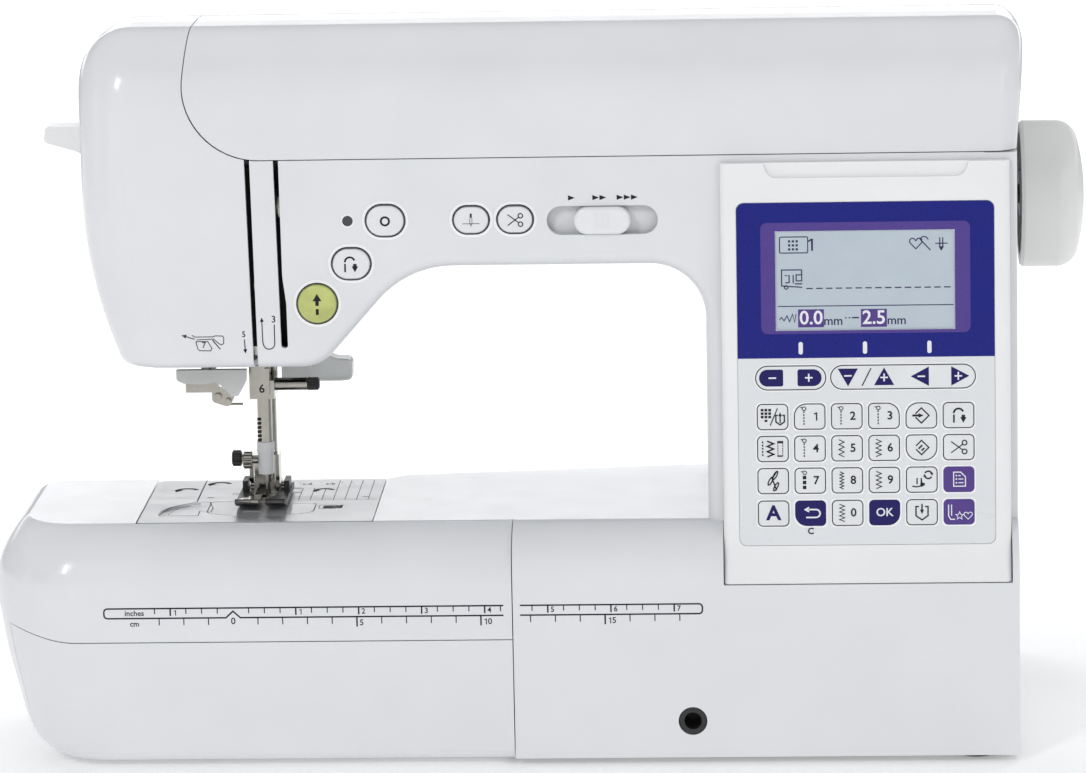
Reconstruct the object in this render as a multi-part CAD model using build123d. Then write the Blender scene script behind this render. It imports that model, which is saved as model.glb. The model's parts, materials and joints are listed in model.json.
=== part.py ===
from build123d import *
import os
from math import asin, atan2, cos, degrees, hypot, pi, radians, sin, sqrt

# A free-arm household sewing machine, in millimetres.
# +X is to the handwheel, +Y into the machine from its front, +Z up.
# The origin is at the bottom centre of the whole machine.

# ---------------------------------------------------------------- driving sizes
LENGTH = 446.0
DEPTH = 190.0
HEIGHT = 297.0
LEFT = -LENGTH / 2
RIGHT = LENGTH / 2
FRONT = -DEPTH / 2
BACK = DEPTH / 2

WALL = 2.5              # thickness of the moulded housings
SEAM = 0.4              # gap between neighbouring mouldings
CLEAR = 0.3             # space between parts that move past each other

FOOT_HEIGHT = 3.0       # rubber feet under the base
BED_TOP = 97.6
PLATE_THICK = 1.6
ARM_FRONT = -79.0
ARM_BACK = 74.0
ARM_UNDER = 202.0
HEAD_UNDER = 161.5
HEAD_LEFT = -182.6
COLUMN_LEFT = 68.7
COLUMN_RIGHT = 193.0
LID_RIGHT = 197.0
LID_SEAM = 246.2        # height of the seam under the lid
LID_LEFT = -142.0       # where the lid's edge turns up to the top
LID_LEAN = 8.0          # the lid's left edge leans in by this much at LID_TOP
LID_TOP = 330.0
CROWN_Y = -35.0         # the top falls away behind this line
CROWN_RADIUS = 300.0
SPLIT_Y = 12.0          # front and rear housings meet here
SHOULDER = 19.6         # rounding of the bed's front edge
THROAT_ROUND = 5.0      # rounding of the throat's front edge
SHOULDER_Z = BED_TOP - SHOULDER

NEEDLE_X = -114.0
NEEDLE_Y = -34.0
PRESSER_Y = -20.0
TAKE_UP_Y = -48.0       # pivot of the take-up lever
TAKE_UP_Z = 206.0
LEVER_X = -104.0        # pivot of the presser foot lever
LEVER_Z = 146.0

FREE_ARM_LEFT = -163.0
FREE_ARM_FRONT = -75.0
FREE_ARM_BACK = 5.0
FREE_ARM_UNDER = 40.0
BASE_LEFT = -10.2       # where the base meets the flat bed attachment
PLATE_RIGHT = -67.5

SHAFT_Y = -10.0
SHAFT_Z = 218.0
SHAFT_R = 4.0
WHEEL_R = 30.0
LOWER_Y = -31.5
LOWER_Z = 53.0
HOOK_Y = -52.0
HOOK_R = 17.2
HOOK_TEETH = 10         # the hook turns twice for each turn of the lower shaft

HINGE_Y = 51.0          # the lid's hinge axis
HINGE_R = 6.5
HINGE_LEFT = -138.2     # left end of the lid's hinge barrel
HINGE_RIGHT = 184.8

DOOR_TOP = 52.5         # top edge of the accessory door
DOOR_AXIS_Y = -91.5     # the bead on which the door swings down
DOOR_AXIS_Z = 5.5
DECK_Z = 241.0          # underside of the tray below the lid


# ---------------------------------------------------------------- small helpers
def box(x0, x1, y0, y1, z0, z1):
    centre = ((x0 + x1) / 2, (y0 + y1) / 2, (z0 + z1) / 2)
    return Pos(*centre) * Box(x1 - x0, y1 - y0, z1 - z0)


def rod_x(x0, x1, y, z, radius):
    return Pos((x0 + x1) / 2, y, z) * Rot(0, 90, 0) * Cylinder(radius, x1 - x0)


def rod_y(y0, y1, x, z, radius):
    return Pos(x, (y0 + y1) / 2, z) * Rot(90, 0, 0) * Cylinder(radius, y1 - y0)


def rod_z(z0, z1, x, y, radius):
    return Pos(x, y, (z0 + z1) / 2) * Cylinder(radius, z1 - z0)


def along_x(face, x0, x1):
    """Prism of a (y, z) outline from x0 to x1."""
    return extrude(Plane.YZ.offset(x0) * face, amount=x1 - x0)


def along_y(face, y0, y1):
    """Prism of an (x, z) outline from y0 to y1."""
    return extrude(Plane.XZ.offset(-y1) * face, amount=y1 - y0)


def along_z(face, z0, z1):
    """Prism of an (x, y) outline from z0 to z1."""
    return extrude(Plane.XY.offset(z0) * face, amount=z1 - z0)


def outline(corners):
    """Face through (a, b, radius) corners, each rounded by its own radius."""
    points = [(a, b) for a, b, _ in corners]
    radii = [radius for _, _, radius in corners]
    return make_face(FilletPolyline(*points, radius=radii, close=True))


def inset(face, amount):
    return offset(face, amount=-amount, kind=Kind.INTERSECTION) if amount else face


def stadium(width, height):
    """Face with round ends, or a disc when it is as wide as it is high."""
    return SlotOverall(width, height) if width > height + 0.01 else Circle(width / 2)


def edges_near(part, test):
    return [edge for edge in part.edges() if test(edge.center())]


# ---------------------------------------------------------------- housings
def crown_drop(y):
    """How far the rounded top lies below its highest line."""
    if y <= CROWN_Y:
        return 0.0
    return CROWN_RADIUS - sqrt(CROWN_RADIUS**2 - (y - CROWN_Y) ** 2)


def top_profile(t):
    """Side outline of the arm: front, rolled top edge, crowned top and rear."""
    roll = 28.0 - t
    top = HEIGHT - t
    front = ARM_FRONT + t
    back = ARM_BACK - t
    rear_z = HEIGHT - crown_drop(ARM_BACK) - t
    middle_y = (CROWN_Y + back) / 2
    middle_z = HEIGHT - crown_drop(middle_y) - t
    start_y = front + roll
    lines = [
        Line((front, 100), (front, top - roll)),
        RadiusArc((front, top - roll), (start_y, top), roll),
        Line((start_y, top), (CROWN_Y, top)),
        ThreePointArc((CROWN_Y, top), (middle_y, middle_z), (back, rear_z)),
        Line((back, rear_z), (back, 100)),
        Line((back, 100), (front, 100)),
    ]
    return make_face(lines)


def head_outline():
    """Front outline of the head and arm, with the slope over the throat."""
    return outline([
        (HEAD_LEFT, HEIGHT + 20, 0),
        (LID_RIGHT + 1.4, HEIGHT + 20, 0),
        (COLUMN_RIGHT + 0.3, LID_SEAM, 0),
        (120, LID_SEAM, 0),
        (120, ARM_UNDER, 0),
        (-50.4, ARM_UNDER, 40),
        (-86.4, HEAD_UNDER, 18),
        (-168.0, HEAD_UNDER, 0),
        (HEAD_LEFT, 198.7, 180),
    ])


def column_outline():
    return outline([
        (COLUMN_LEFT, FOOT_HEIGHT, 0),
        (COLUMN_RIGHT, FOOT_HEIGHT, 0),
        (COLUMN_RIGHT, LID_SEAM - SEAM, 0),
        (180, LID_SEAM - SEAM, 0),
        (180, 262, 0),
        (30, 262, 0),
        (30, ARM_UNDER, 0),
        (COLUMN_LEFT, ARM_UNDER, 22),
    ])


def arm_block(t):
    """Head and arm, inset by t, with rounded left and right ends."""
    block = along_x(top_profile(t), -200, 210)
    block &= along_y(inset(head_outline(), t), -100, 100)

    def on_left(c):
        return c.X < -165 and c.Z > HEAD_UNDER + t + 1 and not (
            abs(c.Y) < 60 and c.Z < HEAD_UNDER + 8)

    left = [
        edge for edge in block.edges()
        if on_left(edge.center()) and is_rim(edge, t)
    ]
    block = fillet(left, 20 - t)
    right = [
        edge for edge in block.edges()
        if edge.center().X > 188 - t and is_rim(edge, t)
        and edge.center().Z > LID_SEAM + t + 1
    ]
    return fillet(right, 10 - t)


def is_rim(edge, t):
    """True for the edges where an end wall meets the front, top or rear."""
    c = edge.center()
    near_front = abs(c.Y - ARM_FRONT - t) < 0.2
    near_back = abs(c.Y - ARM_BACK + t) < 0.2
    ends = [edge @ 0, edge @ 1]
    across = abs(ends[0].Y - ends[1].Y) > 1
    high = c.Z > 262
    return near_front or near_back or (across and high)


def rear_profile(t):
    """Side outline of the column's leaning rear, down to the base."""
    return outline([
        (20, FOOT_HEIGHT - t, 0),
        (BACK - t, FOOT_HEIGHT - t, 0),
        (BACK - t, 40, 30),
        (ARM_BACK - t, LID_SEAM - SEAM - 2 * t, 0),
        (20, LID_SEAM - SEAM - 2 * t, 0),
    ])


def bed_profile(t):
    """Side outline of the base, with the rounded shoulder at its front."""
    shoulder_y = FRONT + SHOULDER
    lines = [
        Line((FRONT + t, FOOT_HEIGHT - t), (FRONT + t, SHOULDER_Z)),
        RadiusArc((FRONT + t, SHOULDER_Z), (shoulder_y, BED_TOP - t), SHOULDER - t),
        Line((shoulder_y, BED_TOP - t), (60, BED_TOP - t)),
        Line((60, BED_TOP - t), (60, FOOT_HEIGHT - t)),
        Line((60, FOOT_HEIGHT - t), (FRONT + t, FOOT_HEIGHT - t)),
    ]
    return make_face(lines)


def bed_plan():
    return outline([
        (BASE_LEFT, FRONT - 5, 0),
        (COLUMN_RIGHT, FRONT - 5, 0),
        (COLUMN_RIGHT, 50, 0),
        (100, 50, 0),
        (72, 29, 0),
        (BASE_LEFT, 14, 0),
    ])


def free_arm_plan():
    return outline([
        (FREE_ARM_LEFT, FREE_ARM_FRONT, 3),
        (60, FREE_ARM_FRONT, 0),
        (60, 27, 0),
        (-60, 11.5, 8),
        (-66, FREE_ARM_BACK, 8),
        (FREE_ARM_LEFT, FREE_ARM_BACK, 6),
    ])


def free_arm_block(t):
    block = along_z(inset(free_arm_plan(), t), FREE_ARM_UNDER + t, BED_TOP - t)
    if t:
        return block
    under = edges_near(block, lambda c: abs(c.Z - FREE_ARM_UNDER) < 0.1 and c.X < 0)
    return fillet(under, 2.0)


def panel_pocket(t):
    """Space in the column's front that the control panel fills."""
    return box(74.7 - t, 190.3 + t, -110, ARM_FRONT + t, 74.1 - t, LID_SEAM + 5)


def arm_and_column(t):
    """Head, arm and column in one, with the throat's front edge rounded."""
    front = ARM_FRONT + t
    block = arm_block(t) + along_y(inset(column_outline(), t), front, ARM_BACK - t)

    def on_throat(c):
        on_arm = HEAD_UNDER + 3 < c.Z < ARM_UNDER + 3 and -100 < c.X < 75
        on_column = abs(c.X - COLUMN_LEFT - t) < 0.1 and c.Z < 200
        return abs(c.Y - front) < 0.05 and (on_arm or on_column)

    return fillet(edges_near(block, on_throat), THROAT_ROUND - t)


def housing_solid(t):
    """The whole housing, inset by t; the base is open below when t is not 0."""
    rear = along_x(rear_profile(t), COLUMN_LEFT + t, COLUMN_RIGHT - t)
    bed = along_x(bed_profile(t), BASE_LEFT, COLUMN_RIGHT)
    bed &= along_z(inset(bed_plan(), t), -10, 150)
    whole = arm_and_column(t) + rear + bed + free_arm_block(t)
    if t:
        # the arm opens into the column below it
        whole += box(110, 188, ARM_FRONT + 5, ARM_BACK - 4, 235, 255)
    return whole - panel_pocket(t)


def lid_region(gap):
    """Prism above the lid's seam, from the front to the hinge line."""
    seam = outline([
        (LID_LEFT + LID_LEAN - gap, LID_TOP, 0),
        (LID_LEFT - gap, LID_SEAM - gap, 30),
        (230, LID_SEAM - gap, 0),
        (230, LID_TOP, 0),
    ])
    back = HINGE_Y if gap < 0 else HINGE_Y + HINGE_R + 2.6
    return along_y(seam, -100, back)


def hinge_z():
    return HEIGHT - crown_drop(HINGE_Y) - HINGE_R


def head_slots():
    """The two thread slots in the head's front, cut a little aslant."""
    slot_one = outline([
        (-114.9, LID_SEAM + 6, 0), (-112.7, LID_SEAM + 6, 0),
        (-111.4, HEAD_UNDER - 3, 0), (-113.2, HEAD_UNDER - 3, 0),
    ])
    slot_two = outline([
        (-103.3, LID_SEAM + 6, 0), (-101.1, LID_SEAM + 6, 0),
        (-100.7, 199, 0), (-99.4, 188, 0), (-99.2, 169.6, 1.2), (-101.9, 170.2, 1.2),
    ])
    return along_y(slot_one, -90, -70) + along_y(slot_two, -90, -70)


BUTTONS = {
    # name: (x, z, width, height)
    "start_stop_button": (-86.9, 188.0, 15.4, 15.4),
    "reverse_button": (-72.8, 204.1, 14.8, 12.0),
    "reinforcement_button": (-58.8, 221.4, 14.8, 12.0),
    "needle_position_button": (-24.4, 221.3, 13.6, 10.4),
    "thread_cutter_button": (-6.8, 221.3, 13.6, 10.4),
}
SLIDER_X = 28.0
SLIDER_Z = 220.5
SLOT_HALF = 22.2
LAMP_X = -74.0


def front_openings():
    """Everything cut through the arm's front wall."""
    cut = head_slots()
    for x, z, width, height in BUTTONS.values():
        hole = stadium(width + 2 * CLEAR, height + 2 * CLEAR)
        cut += along_y(Pos(x, z) * hole, -90, -70)
    slot = stadium(2 * SLOT_HALF, 11.7)
    cut += along_y(Pos(SLIDER_X, SLIDER_Z) * slot, -90, -70)
    cut += rod_y(-90, -70, LAMP_X, SLIDER_Z + 0.9, 1.8)
    return cut


def front_housing(shell):
    region = box(-250, 250, -120, SPLIT_Y, -10, 330)
    region += box(-250, 71, SPLIT_Y - 1, 45, -10, 130)
    part = shell & region
    part -= lid_region(SEAM / 2)
    part -= front_openings()
    # underside of the head: needle, presser bar and threader
    part -= box(-150, -96, -62, -8, 150, 170)
    part -= box(-111, -97, 1, 10, 150, 170)
    part -= box(-96, -86, -60, -48, 150, 170)
    # slot for the threader lever in the head's left wall
    part -= box(-200, -174, -26.5, -11.5, 193.5, 255)
    # the needle plate closes the free arm's top
    part -= box(FREE_ARM_LEFT - 1, PLATE_RIGHT + SEAM, -80, 10, BED_TOP - PLATE_THICK, 110)
    part -= box(FREE_ARM_LEFT + WALL, PLATE_RIGHT - WALL, -72, 2, 90, 110)
    # the base plate's tongue passes under the free arm
    part -= box(-14, -4, FREE_ARM_FRONT - SEAM, FREE_ARM_BACK + SEAM, -5, 14)
    # shafts pass between the free arm and the base
    part -= box(-14, -4, -71, 1, 44, 90)
    # window behind the control panel
    part -= box(88, 176, -82, -74, 100, 232)
    # handwheel shaft
    part -= rod_x(185, 200, SHAFT_Y, SHAFT_Z, 8)
    # knee lifter hole
    part -= rod_y(-100, -85, 61.6, 18.1, 5.8)
    # slot for the feed drop lever in the free arm's rear
    part -= box(-106, -74, 0, 12, 58, 66)
    return part


def rear_housing(shell):
    region = box(-250, 250, SPLIT_Y + CLEAR, 120, -10, 330)
    region -= box(-250, 71 + CLEAR, 0, 45 + CLEAR, -10, 130)
    part = shell & region
    part -= lid_region(SEAM / 2)
    # slot in which the presser foot lever swings up
    part -= box(-112, -66, SPLIT_Y - 1, 27, 150, 190)
    # handwheel shaft, connector panel and power switch in the right wall
    part -= box(185, 200, 17, 66, 20, 50)
    part -= box(185, 200, 45, 66, 58, 80)
    for row in range(9):
        z = 90 + 9 * row
        part -= box(96, 168, 60, 110, z, z + 3)
    # lugs that carry the lid's hinge pins
    lug_left = rod_x(-148, HINGE_LEFT - 1, HINGE_Y, hinge_z(), 3.4)
    lug_left += box(-148, HINGE_LEFT - 1, HINGE_Y, 72.5, hinge_z() - 3.4, hinge_z() - 1.6)
    lug_right = rod_x(185.2, 188.4, HINGE_Y, hinge_z(), 2.5)
    lug_right += box(185.2, 188.4, HINGE_Y, 72.5, hinge_z() - 2.5, hinge_z() - 1.6)
    part += lug_left + lug_right
    part -= rod_x(-149, 189, HINGE_Y, hinge_z(), 1.6)
    for x in (HANDLE_LEFT - 9, HANDLE_RIGHT + 1):
        boss = box(x, x + 8, ARM_BACK - 1, HANDLE_Y + 5, HANDLE_Z - 5, HANDLE_Z + 5)
        boss = fillet(edges_near(boss, lambda c: abs(c.Y - HANDLE_Y - 5) < 0.1
                                 and abs(abs(c.Z - HANDLE_Z) - 5) < 0.1), 4.5)
        part += boss - rod_x(x - 1, x + 9, HANDLE_Y, HANDLE_Z, 2.05)
    return part


def top_cover(shell):
    lid = shell & lid_region(-SEAM / 2)
    lid += rod_x(HINGE_LEFT, HINGE_RIGHT, HINGE_Y, hinge_z(), HINGE_R)
    for x0, x1 in ((HINGE_LEFT - 1, HINGE_LEFT + 9), (HINGE_RIGHT - 9, HINGE_RIGHT + 1)):
        lid -= rod_x(x0, x1, HINGE_Y, hinge_z(), 1.6)
    return lid


def base_plate():
    plan = inset(bed_plan(), WALL + SEAM)
    plate = along_z(plan, FOOT_HEIGHT, FOOT_HEIGHT + WALL)
    front = FRONT + WALL + SEAM
    plate &= box(-20, 250, front, 100, 0, 20)
    plate += box(COLUMN_LEFT + WALL + SEAM, COLUMN_RIGHT - WALL - SEAM, 20, BACK - WALL - SEAM,
                 FOOT_HEIGHT, FOOT_HEIGHT + WALL)
    tongue = box(FREE_ARM_LEFT + 3, 10, -72, 2, FOOT_HEIGHT, 12)
    upright = fillet(edges_near(tongue, lambda c: abs(c.Z - 7.5) < 0.1 and c.X < 0), 8)
    return plate + upright


FEET = ((-146, -58), (-146, -12), (176, -78), (176, 78))


def rubber_feet():
    feet = []
    for x, y in FEET:
        foot = rod_z(0, FOOT_HEIGHT, x, y, 9)
        feet.append(chamfer(edges_near(foot, lambda c: c.Z < 0.1), 0.8))
    return Compound(children=feet)


def housing_screws():
    """Pan-head screws that hold the rear housing and the base plate."""
    screws = []
    for x, z in ((-155, 210), (-120, 240), (40, 240), (-20, 215)):
        head = rod_y(ARM_BACK + 0.05, ARM_BACK + 2.0, x, z, 3.6)
        screws.append(head - box(x - 0.5, x + 0.5, ARM_BACK + 1.2, ARM_BACK + 3, z - 2.6, z + 2.6))
    for x, y in ((20, -70), (150, -60), (150, 60)):
        head = rod_z(FOOT_HEIGHT - 1.8, FOOT_HEIGHT - 0.05, x, y, 3.6)
        screws.append(head - box(x - 0.5, x + 0.5, y - 2.6, y + 2.6, 0, FOOT_HEIGHT - 1.0))
    return Compound(children=screws)


# ---------------------------------------------------------------- carry handle and hinge pins
HANDLE_LEFT = -62.0
HANDLE_RIGHT = 112.0
HANDLE_Y = 81.0
HANDLE_Z = 262.0
HANDLE_DROP = 34.0


def carry_handle():
    bar_z = HANDLE_Z - HANDLE_DROP
    u_shape = outline([
        (HANDLE_LEFT, HANDLE_Z + 4.5, 4), (HANDLE_LEFT + 9, HANDLE_Z + 4.5, 4),
        (HANDLE_LEFT + 9, bar_z + 7, 8), (HANDLE_RIGHT - 9, bar_z + 7, 8),
        (HANDLE_RIGHT - 9, HANDLE_Z + 4.5, 4), (HANDLE_RIGHT, HANDLE_Z + 4.5, 4),
        (HANDLE_RIGHT, bar_z - 7, 14), (HANDLE_LEFT, bar_z - 7, 14),
    ])
    handle = along_y(u_shape, HANDLE_Y - 4.5, HANDLE_Y + 4.5)
    grip = edges_near(handle, lambda c: c.Z < bar_z - 6.9)
    handle = fillet(grip, 3.5)
    return handle - rod_x(HANDLE_LEFT - 1, HANDLE_RIGHT + 1, HANDLE_Y, HANDLE_Z, 2.1)


def hinge_pins():
    """Two pins for the lid and two for the carry handle."""
    pins = [
        rod_x(-147.5, HINGE_LEFT + 8, HINGE_Y, hinge_z(), 1.5),
        rod_x(177, 188.2, HINGE_Y, hinge_z(), 1.5),
        rod_x(HANDLE_LEFT - 8.8, HANDLE_LEFT + 8.8, HANDLE_Y, HANDLE_Z, 2.0),
        rod_x(HANDLE_RIGHT - 8.8, HANDLE_RIGHT + 8.8, HANDLE_Y, HANDLE_Z, 2.0),
    ]
    return Compound(children=pins)


# ---------------------------------------------------------------- spool tray
PIN_Y = 2.0
PIN_Z = 263.0
WINDER_X = 163.0
WINDER_Y = -38.0
WINDER_PIVOT_X = 178.0


def spool_tray():
    plan = outline([
        (-138, -73.4, 4), (187.4, -73.4, 4), (187.4, 69.4, 4), (-138, 69.4, 4),
    ])
    tray = along_z(plan, DECK_Z, DECK_Z + WALL)
    rim = along_z(plan, DECK_Z, DECK_Z + 5) - along_z(inset(plan, 1.6), 0, 300)
    well = outline([(20, -32, 12), (142, -32, 12), (142, 36, 12), (20, 36, 12)])
    lip = along_z(well, DECK_Z, DECK_Z + 6) - along_z(inset(well, 1.6), 0, 300)
    tray = tray + rim + lip
    # clear of the thread slots, the take-up lever and the winder's pivot
    tray -= box(-120, -95, -80, -52, 200, 300)
    tray -= rod_z(200, 300, WINDER_PIVOT_X, WINDER_Y, 2.1)
    guide = rod_z(DECK_Z + WALL - 0.5, DECK_Z + 22, -70, -40, 3)
    guide += rod_z(DECK_Z + 16, DECK_Z + 22, -70, -40, 6)
    return tray + guide


def spool_pin():
    post = box(146, 152, PIN_Y - 7, PIN_Y + 7, DECK_Z + WALL, PIN_Z + 6)
    post = fillet(edges_near(post, lambda c: c.Z > PIN_Z + 5.9 and abs(c.Y - PIN_Y) > 6), 5)
    pin = rod_x(48, 147, PIN_Y, PIN_Z, 2.6)
    return post + chamfer(edges_near(pin, lambda c: c.X < 49), 1.2)


def spool_cap():
    cap = rod_x(62, 65, PIN_Y, PIN_Z, 15) + rod_x(57, 62.5, PIN_Y, PIN_Z, 6)
    cap = fillet(edges_near(cap, lambda c: c.X > 64.9), 1.2)
    return cap - rod_x(50, 70, PIN_Y, PIN_Z, 2.6 + CLEAR)


def winder_arm():
    plan = outline([
        (WINDER_X - 8, WINDER_Y - 8, 7), (WINDER_PIVOT_X + 7, WINDER_Y - 6, 5),
        (WINDER_PIVOT_X + 7, WINDER_Y + 6, 5), (WINDER_X - 8, WINDER_Y + 8, 7),
    ])
    low = DECK_Z + WALL + CLEAR
    arm = along_z(plan, low, low + 4)
    arm += rod_z(DECK_Z - 4, low + 1, WINDER_PIVOT_X, WINDER_Y, 2.0)
    return arm - rod_z(200, 300, WINDER_X, WINDER_Y, 2.1)


def winder_shaft():
    low = DECK_Z + WALL + CLEAR + 4 + CLEAR
    shaft = rod_z(low, low + 20, WINDER_X, WINDER_Y, 3.0)
    shaft = chamfer(edges_near(shaft, lambda c: c.Z > low + 19), 0.8)
    seat = rod_z(low, low + 2, WINDER_X, WINDER_Y, 9)
    spindle = rod_z(low - 3.5, low + 1, WINDER_X, WINDER_Y, 2.0)
    key = box(WINDER_X + 2.5, WINDER_X + 3.8, WINDER_Y - 0.5, WINDER_Y + 0.5, low + 3, low + 14)
    return shaft + seat + spindle + key


# ---------------------------------------------------------------- control panel
PANEL_LEFT = 75.0
PANEL_RIGHT = 190.0
PANEL_FOOT_Z = 88.0
PANEL_FOOT_Y = -91.0
PANEL_TOP_Y = -83.3
PANEL_TOP_Z = 243.2
PANEL_TILT = degrees(atan2(PANEL_TOP_Y - PANEL_FOOT_Y, PANEL_TOP_Z - PANEL_FOOT_Z))
FILM_THICK = 0.6
SCREEN = (96.8, 167.9, 176.4, 216.1)     # x0, x1, z0, z1


def leaned(part):
    """Leans a part built upright at the panel's front about the panel's foot."""
    foot = Pos(0, PANEL_FOOT_Y, PANEL_FOOT_Z)
    return foot * Rot(-PANEL_TILT, 0, 0) * Pos(0, -PANEL_FOOT_Y, -PANEL_FOOT_Z) * part


def rounded_window(x0, x1, z0, z1, radius, y0, y1):
    face = outline([(x0, z0, radius), (x1, z0, radius), (x1, z1, radius), (x0, z1, radius)])
    return along_y(face, y0, y1)


def panel_profile(t):
    return outline([
        (-94.6 + t, 74.5, 0),
        (PANEL_FOOT_Y + t, PANEL_FOOT_Z, 45),
        (PANEL_TOP_Y + t, PANEL_TOP_Z, 0),
        (ARM_FRONT - SEAM, PANEL_TOP_Z, 0),
        (ARM_FRONT - SEAM, 74.5, 0),
    ])


def panel_frame():
    frame = along_x(panel_profile(0), PANEL_LEFT, PANEL_RIGHT)
    sides = edges_near(frame, lambda c: c.Y < -81 and 80 < c.Z < 240
                       and min(abs(c.X - PANEL_LEFT), abs(c.X - PANEL_RIGHT)) < 0.1)
    frame = fillet(sides, 2.5)
    hollow = along_x(panel_profile(3), PANEL_LEFT + 3, PANEL_RIGHT - 3)
    hollow &= box(0, 250, -100, 0, 78, PANEL_TOP_Z - 3)
    frame -= hollow
    film = rounded_window(81.2, 183.8, 89.3, 227.8, 3, PANEL_FOOT_Y - 3,
                          PANEL_FOOT_Y + FILM_THICK)
    frame -= leaned(film)
    x0, x1, z0, z1 = SCREEN
    frame -= leaned(rounded_window(x0 - 1, x1 + 1, z0 - 1, z1 + 1, 1,
                                   PANEL_FOOT_Y - 5, PANEL_FOOT_Y + 5))
    # finger scoop under the lid's edge
    scoop = outline([(91, PANEL_TOP_Z + 4, 0), (175, PANEL_TOP_Z + 4, 0),
                     (172, PANEL_TOP_Z - 6, 5), (94, PANEL_TOP_Z - 6, 5)])
    return frame - along_y(scoop, -90, -81.8)


def panel_overlay():
    film = rounded_window(81.4, 183.6, 89.5, 227.6, 3, PANEL_FOOT_Y,
                          PANEL_FOOT_Y + FILM_THICK - 0.02)
    film -= rounded_window(*SCREEN, 0.8, PANEL_FOOT_Y - 5, PANEL_FOOT_Y + 5)
    return leaned(film)


def screen_module():
    x0, x1, z0, z1 = SCREEN
    glass = box(x0 - 0.6, x1 + 0.6, PANEL_FOOT_Y + 0.7, PANEL_FOOT_Y + 4, z0 - 0.6, z1 + 0.6)
    body = box(x0 - 4, x1 + 4, PANEL_FOOT_Y + 3.2, PANEL_FOOT_Y + 7.5, z0 - 4, z1 + 4)
    return leaned(glass + body)


def circuit_boards():
    """Control board, button board in the arm, main board at the rear and power board."""
    control = leaned(box(92, 172, PANEL_FOOT_Y + 14, PANEL_FOOT_Y + 15.6, 106, 228))
    path = outline([(-94, 180, 1), (-84, 180, 1), (-52, 213, 1), (64, 213, 1),
                    (64, 234, 1), (-94, 234, 1)])
    buttons = along_y(path, -71.5, -70)
    main = box(84, 182, 60, 61.6, 108, 214)
    power = box(84, 150, 40, 84, 12, 13.6)
    power += box(88, 120, 46, 78, 13.6, 34) + rod_z(13.6, 30, 136, 62, 8)
    return Compound(children=[control, buttons, main, power])


def button(name):
    """Cap that stands 1.3 mm proud, with a flange behind the wall."""
    x, z, width, height = BUTTONS[name]
    cap = along_y(Pos(x, z) * stadium(width, height), ARM_FRONT - 1.3, ARM_FRONT + WALL + 1)
    front = edges_near(cap, lambda c: c.Y < ARM_FRONT - 1.2)
    cap = fillet(front, 0.7)
    low = ARM_FRONT + WALL + 0.2
    flange = along_y(Pos(x, z) * stadium(width + 2.4, height + 2.4), low, low + 1.2)
    return cap + flange


def speed_slider():
    knob = along_y(Pos(SLIDER_X, SLIDER_Z) * stadium(22.7, 11.1), ARM_FRONT - 2.6, ARM_FRONT + 6)
    knob = fillet(edges_near(knob, lambda c: c.Y < ARM_FRONT - 2.5), 1.6)
    low = ARM_FRONT + WALL + 3.0
    backing = box(SLIDER_X - 34, SLIDER_X + 34, low, low + 1.2, SLIDER_Z - 8, SLIDER_Z + 8)
    ridges = [
        box(SLIDER_X + x - 0.35, SLIDER_X + x + 0.35, ARM_FRONT - 2.9, ARM_FRONT - 1,
            SLIDER_Z - 3, SLIDER_Z + 3)
        for x in (-2.4, 0, 2.4)
    ]
    return knob + backing + ridges


def lamp_lenses():
    """Status lamp in the arm's front, and the work light's lens under the head."""
    status = rod_y(ARM_FRONT - 0.1, ARM_FRONT + 4, LAMP_X, SLIDER_Z + 0.9, 1.7)
    work = box(-95.7, -86.3, -59.7, -48.3, HEAD_UNDER + 0.2, HEAD_UNDER + 2.2)
    return Compound(children=[status, work])


# ---------------------------------------------------------------- right end
def handwheel():
    rim = make_face([
        Line((0, 196.8), (29.2, 196.8)),
        Line((29.2, 196.8), (WHEEL_R, 198.2)),
        Line((WHEEL_R, 198.2), (WHEEL_R, 212)),
        ThreePointArc((WHEEL_R, 212), (27.9, 217.3), (22.5, 220.4)),
        ThreePointArc((22.5, 220.4), (14, 222.2), (5, RIGHT)),
        Line((5, RIGHT), (0, RIGHT)),
        Line((0, RIGHT), (0, 196.8)),
    ])
    wheel = revolve(Plane.XY * rim, Axis.Y)
    wheel = Pos(0, SHAFT_Y, SHAFT_Z) * Rot(0, 0, -90) * wheel
    dish = rod_x(196, 203, SHAFT_Y, SHAFT_Z, 25) - rod_x(195, 204, SHAFT_Y, SHAFT_Z, 9)
    return wheel - dish - rod_x(190, 212, SHAFT_Y, SHAFT_Z, SHAFT_R)


def connector_panel():
    """Moulded panel with the mains inlet, the foot control jack and a data socket."""
    panel = box(COLUMN_RIGHT - 6, COLUMN_RIGHT - 0.4, 17.4, 65.6, 20.4, 49.6)
    inlet = outline([(45, 25, 2), (63, 25, 2), (63, 40, 5), (45, 40, 5)])
    panel += box(COLUMN_RIGHT - 22, COLUMN_RIGHT - 5, 43, 65.3, 23, 42)
    panel -= along_x(inlet, COLUMN_RIGHT - 18, COLUMN_RIGHT + 1)
    for y in (50, 54, 58):
        panel += rod_x(COLUMN_RIGHT - 19, COLUMN_RIGHT - 6, y, 32.5, 1.1)
    panel -= rod_x(COLUMN_RIGHT - 5.5, COLUMN_RIGHT + 1, 36, 33, 3.2)
    panel -= box(COLUMN_RIGHT - 5.5, COLUMN_RIGHT + 1, 21, 30, 31, 36)
    switch_frame = box(COLUMN_RIGHT - 8, COLUMN_RIGHT + 0.3, 45.4, 65.6, 58.4, 79.6)
    switch_frame -= box(COLUMN_RIGHT - 6, COLUMN_RIGHT + 1, 47.1, 63.9, 59.8, 78.2)
    switch_frame -= rod_y(46.0, 65.0, COLUMN_RIGHT - 3.5, 69, 1.45)
    return Compound(children=[panel, switch_frame])


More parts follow.
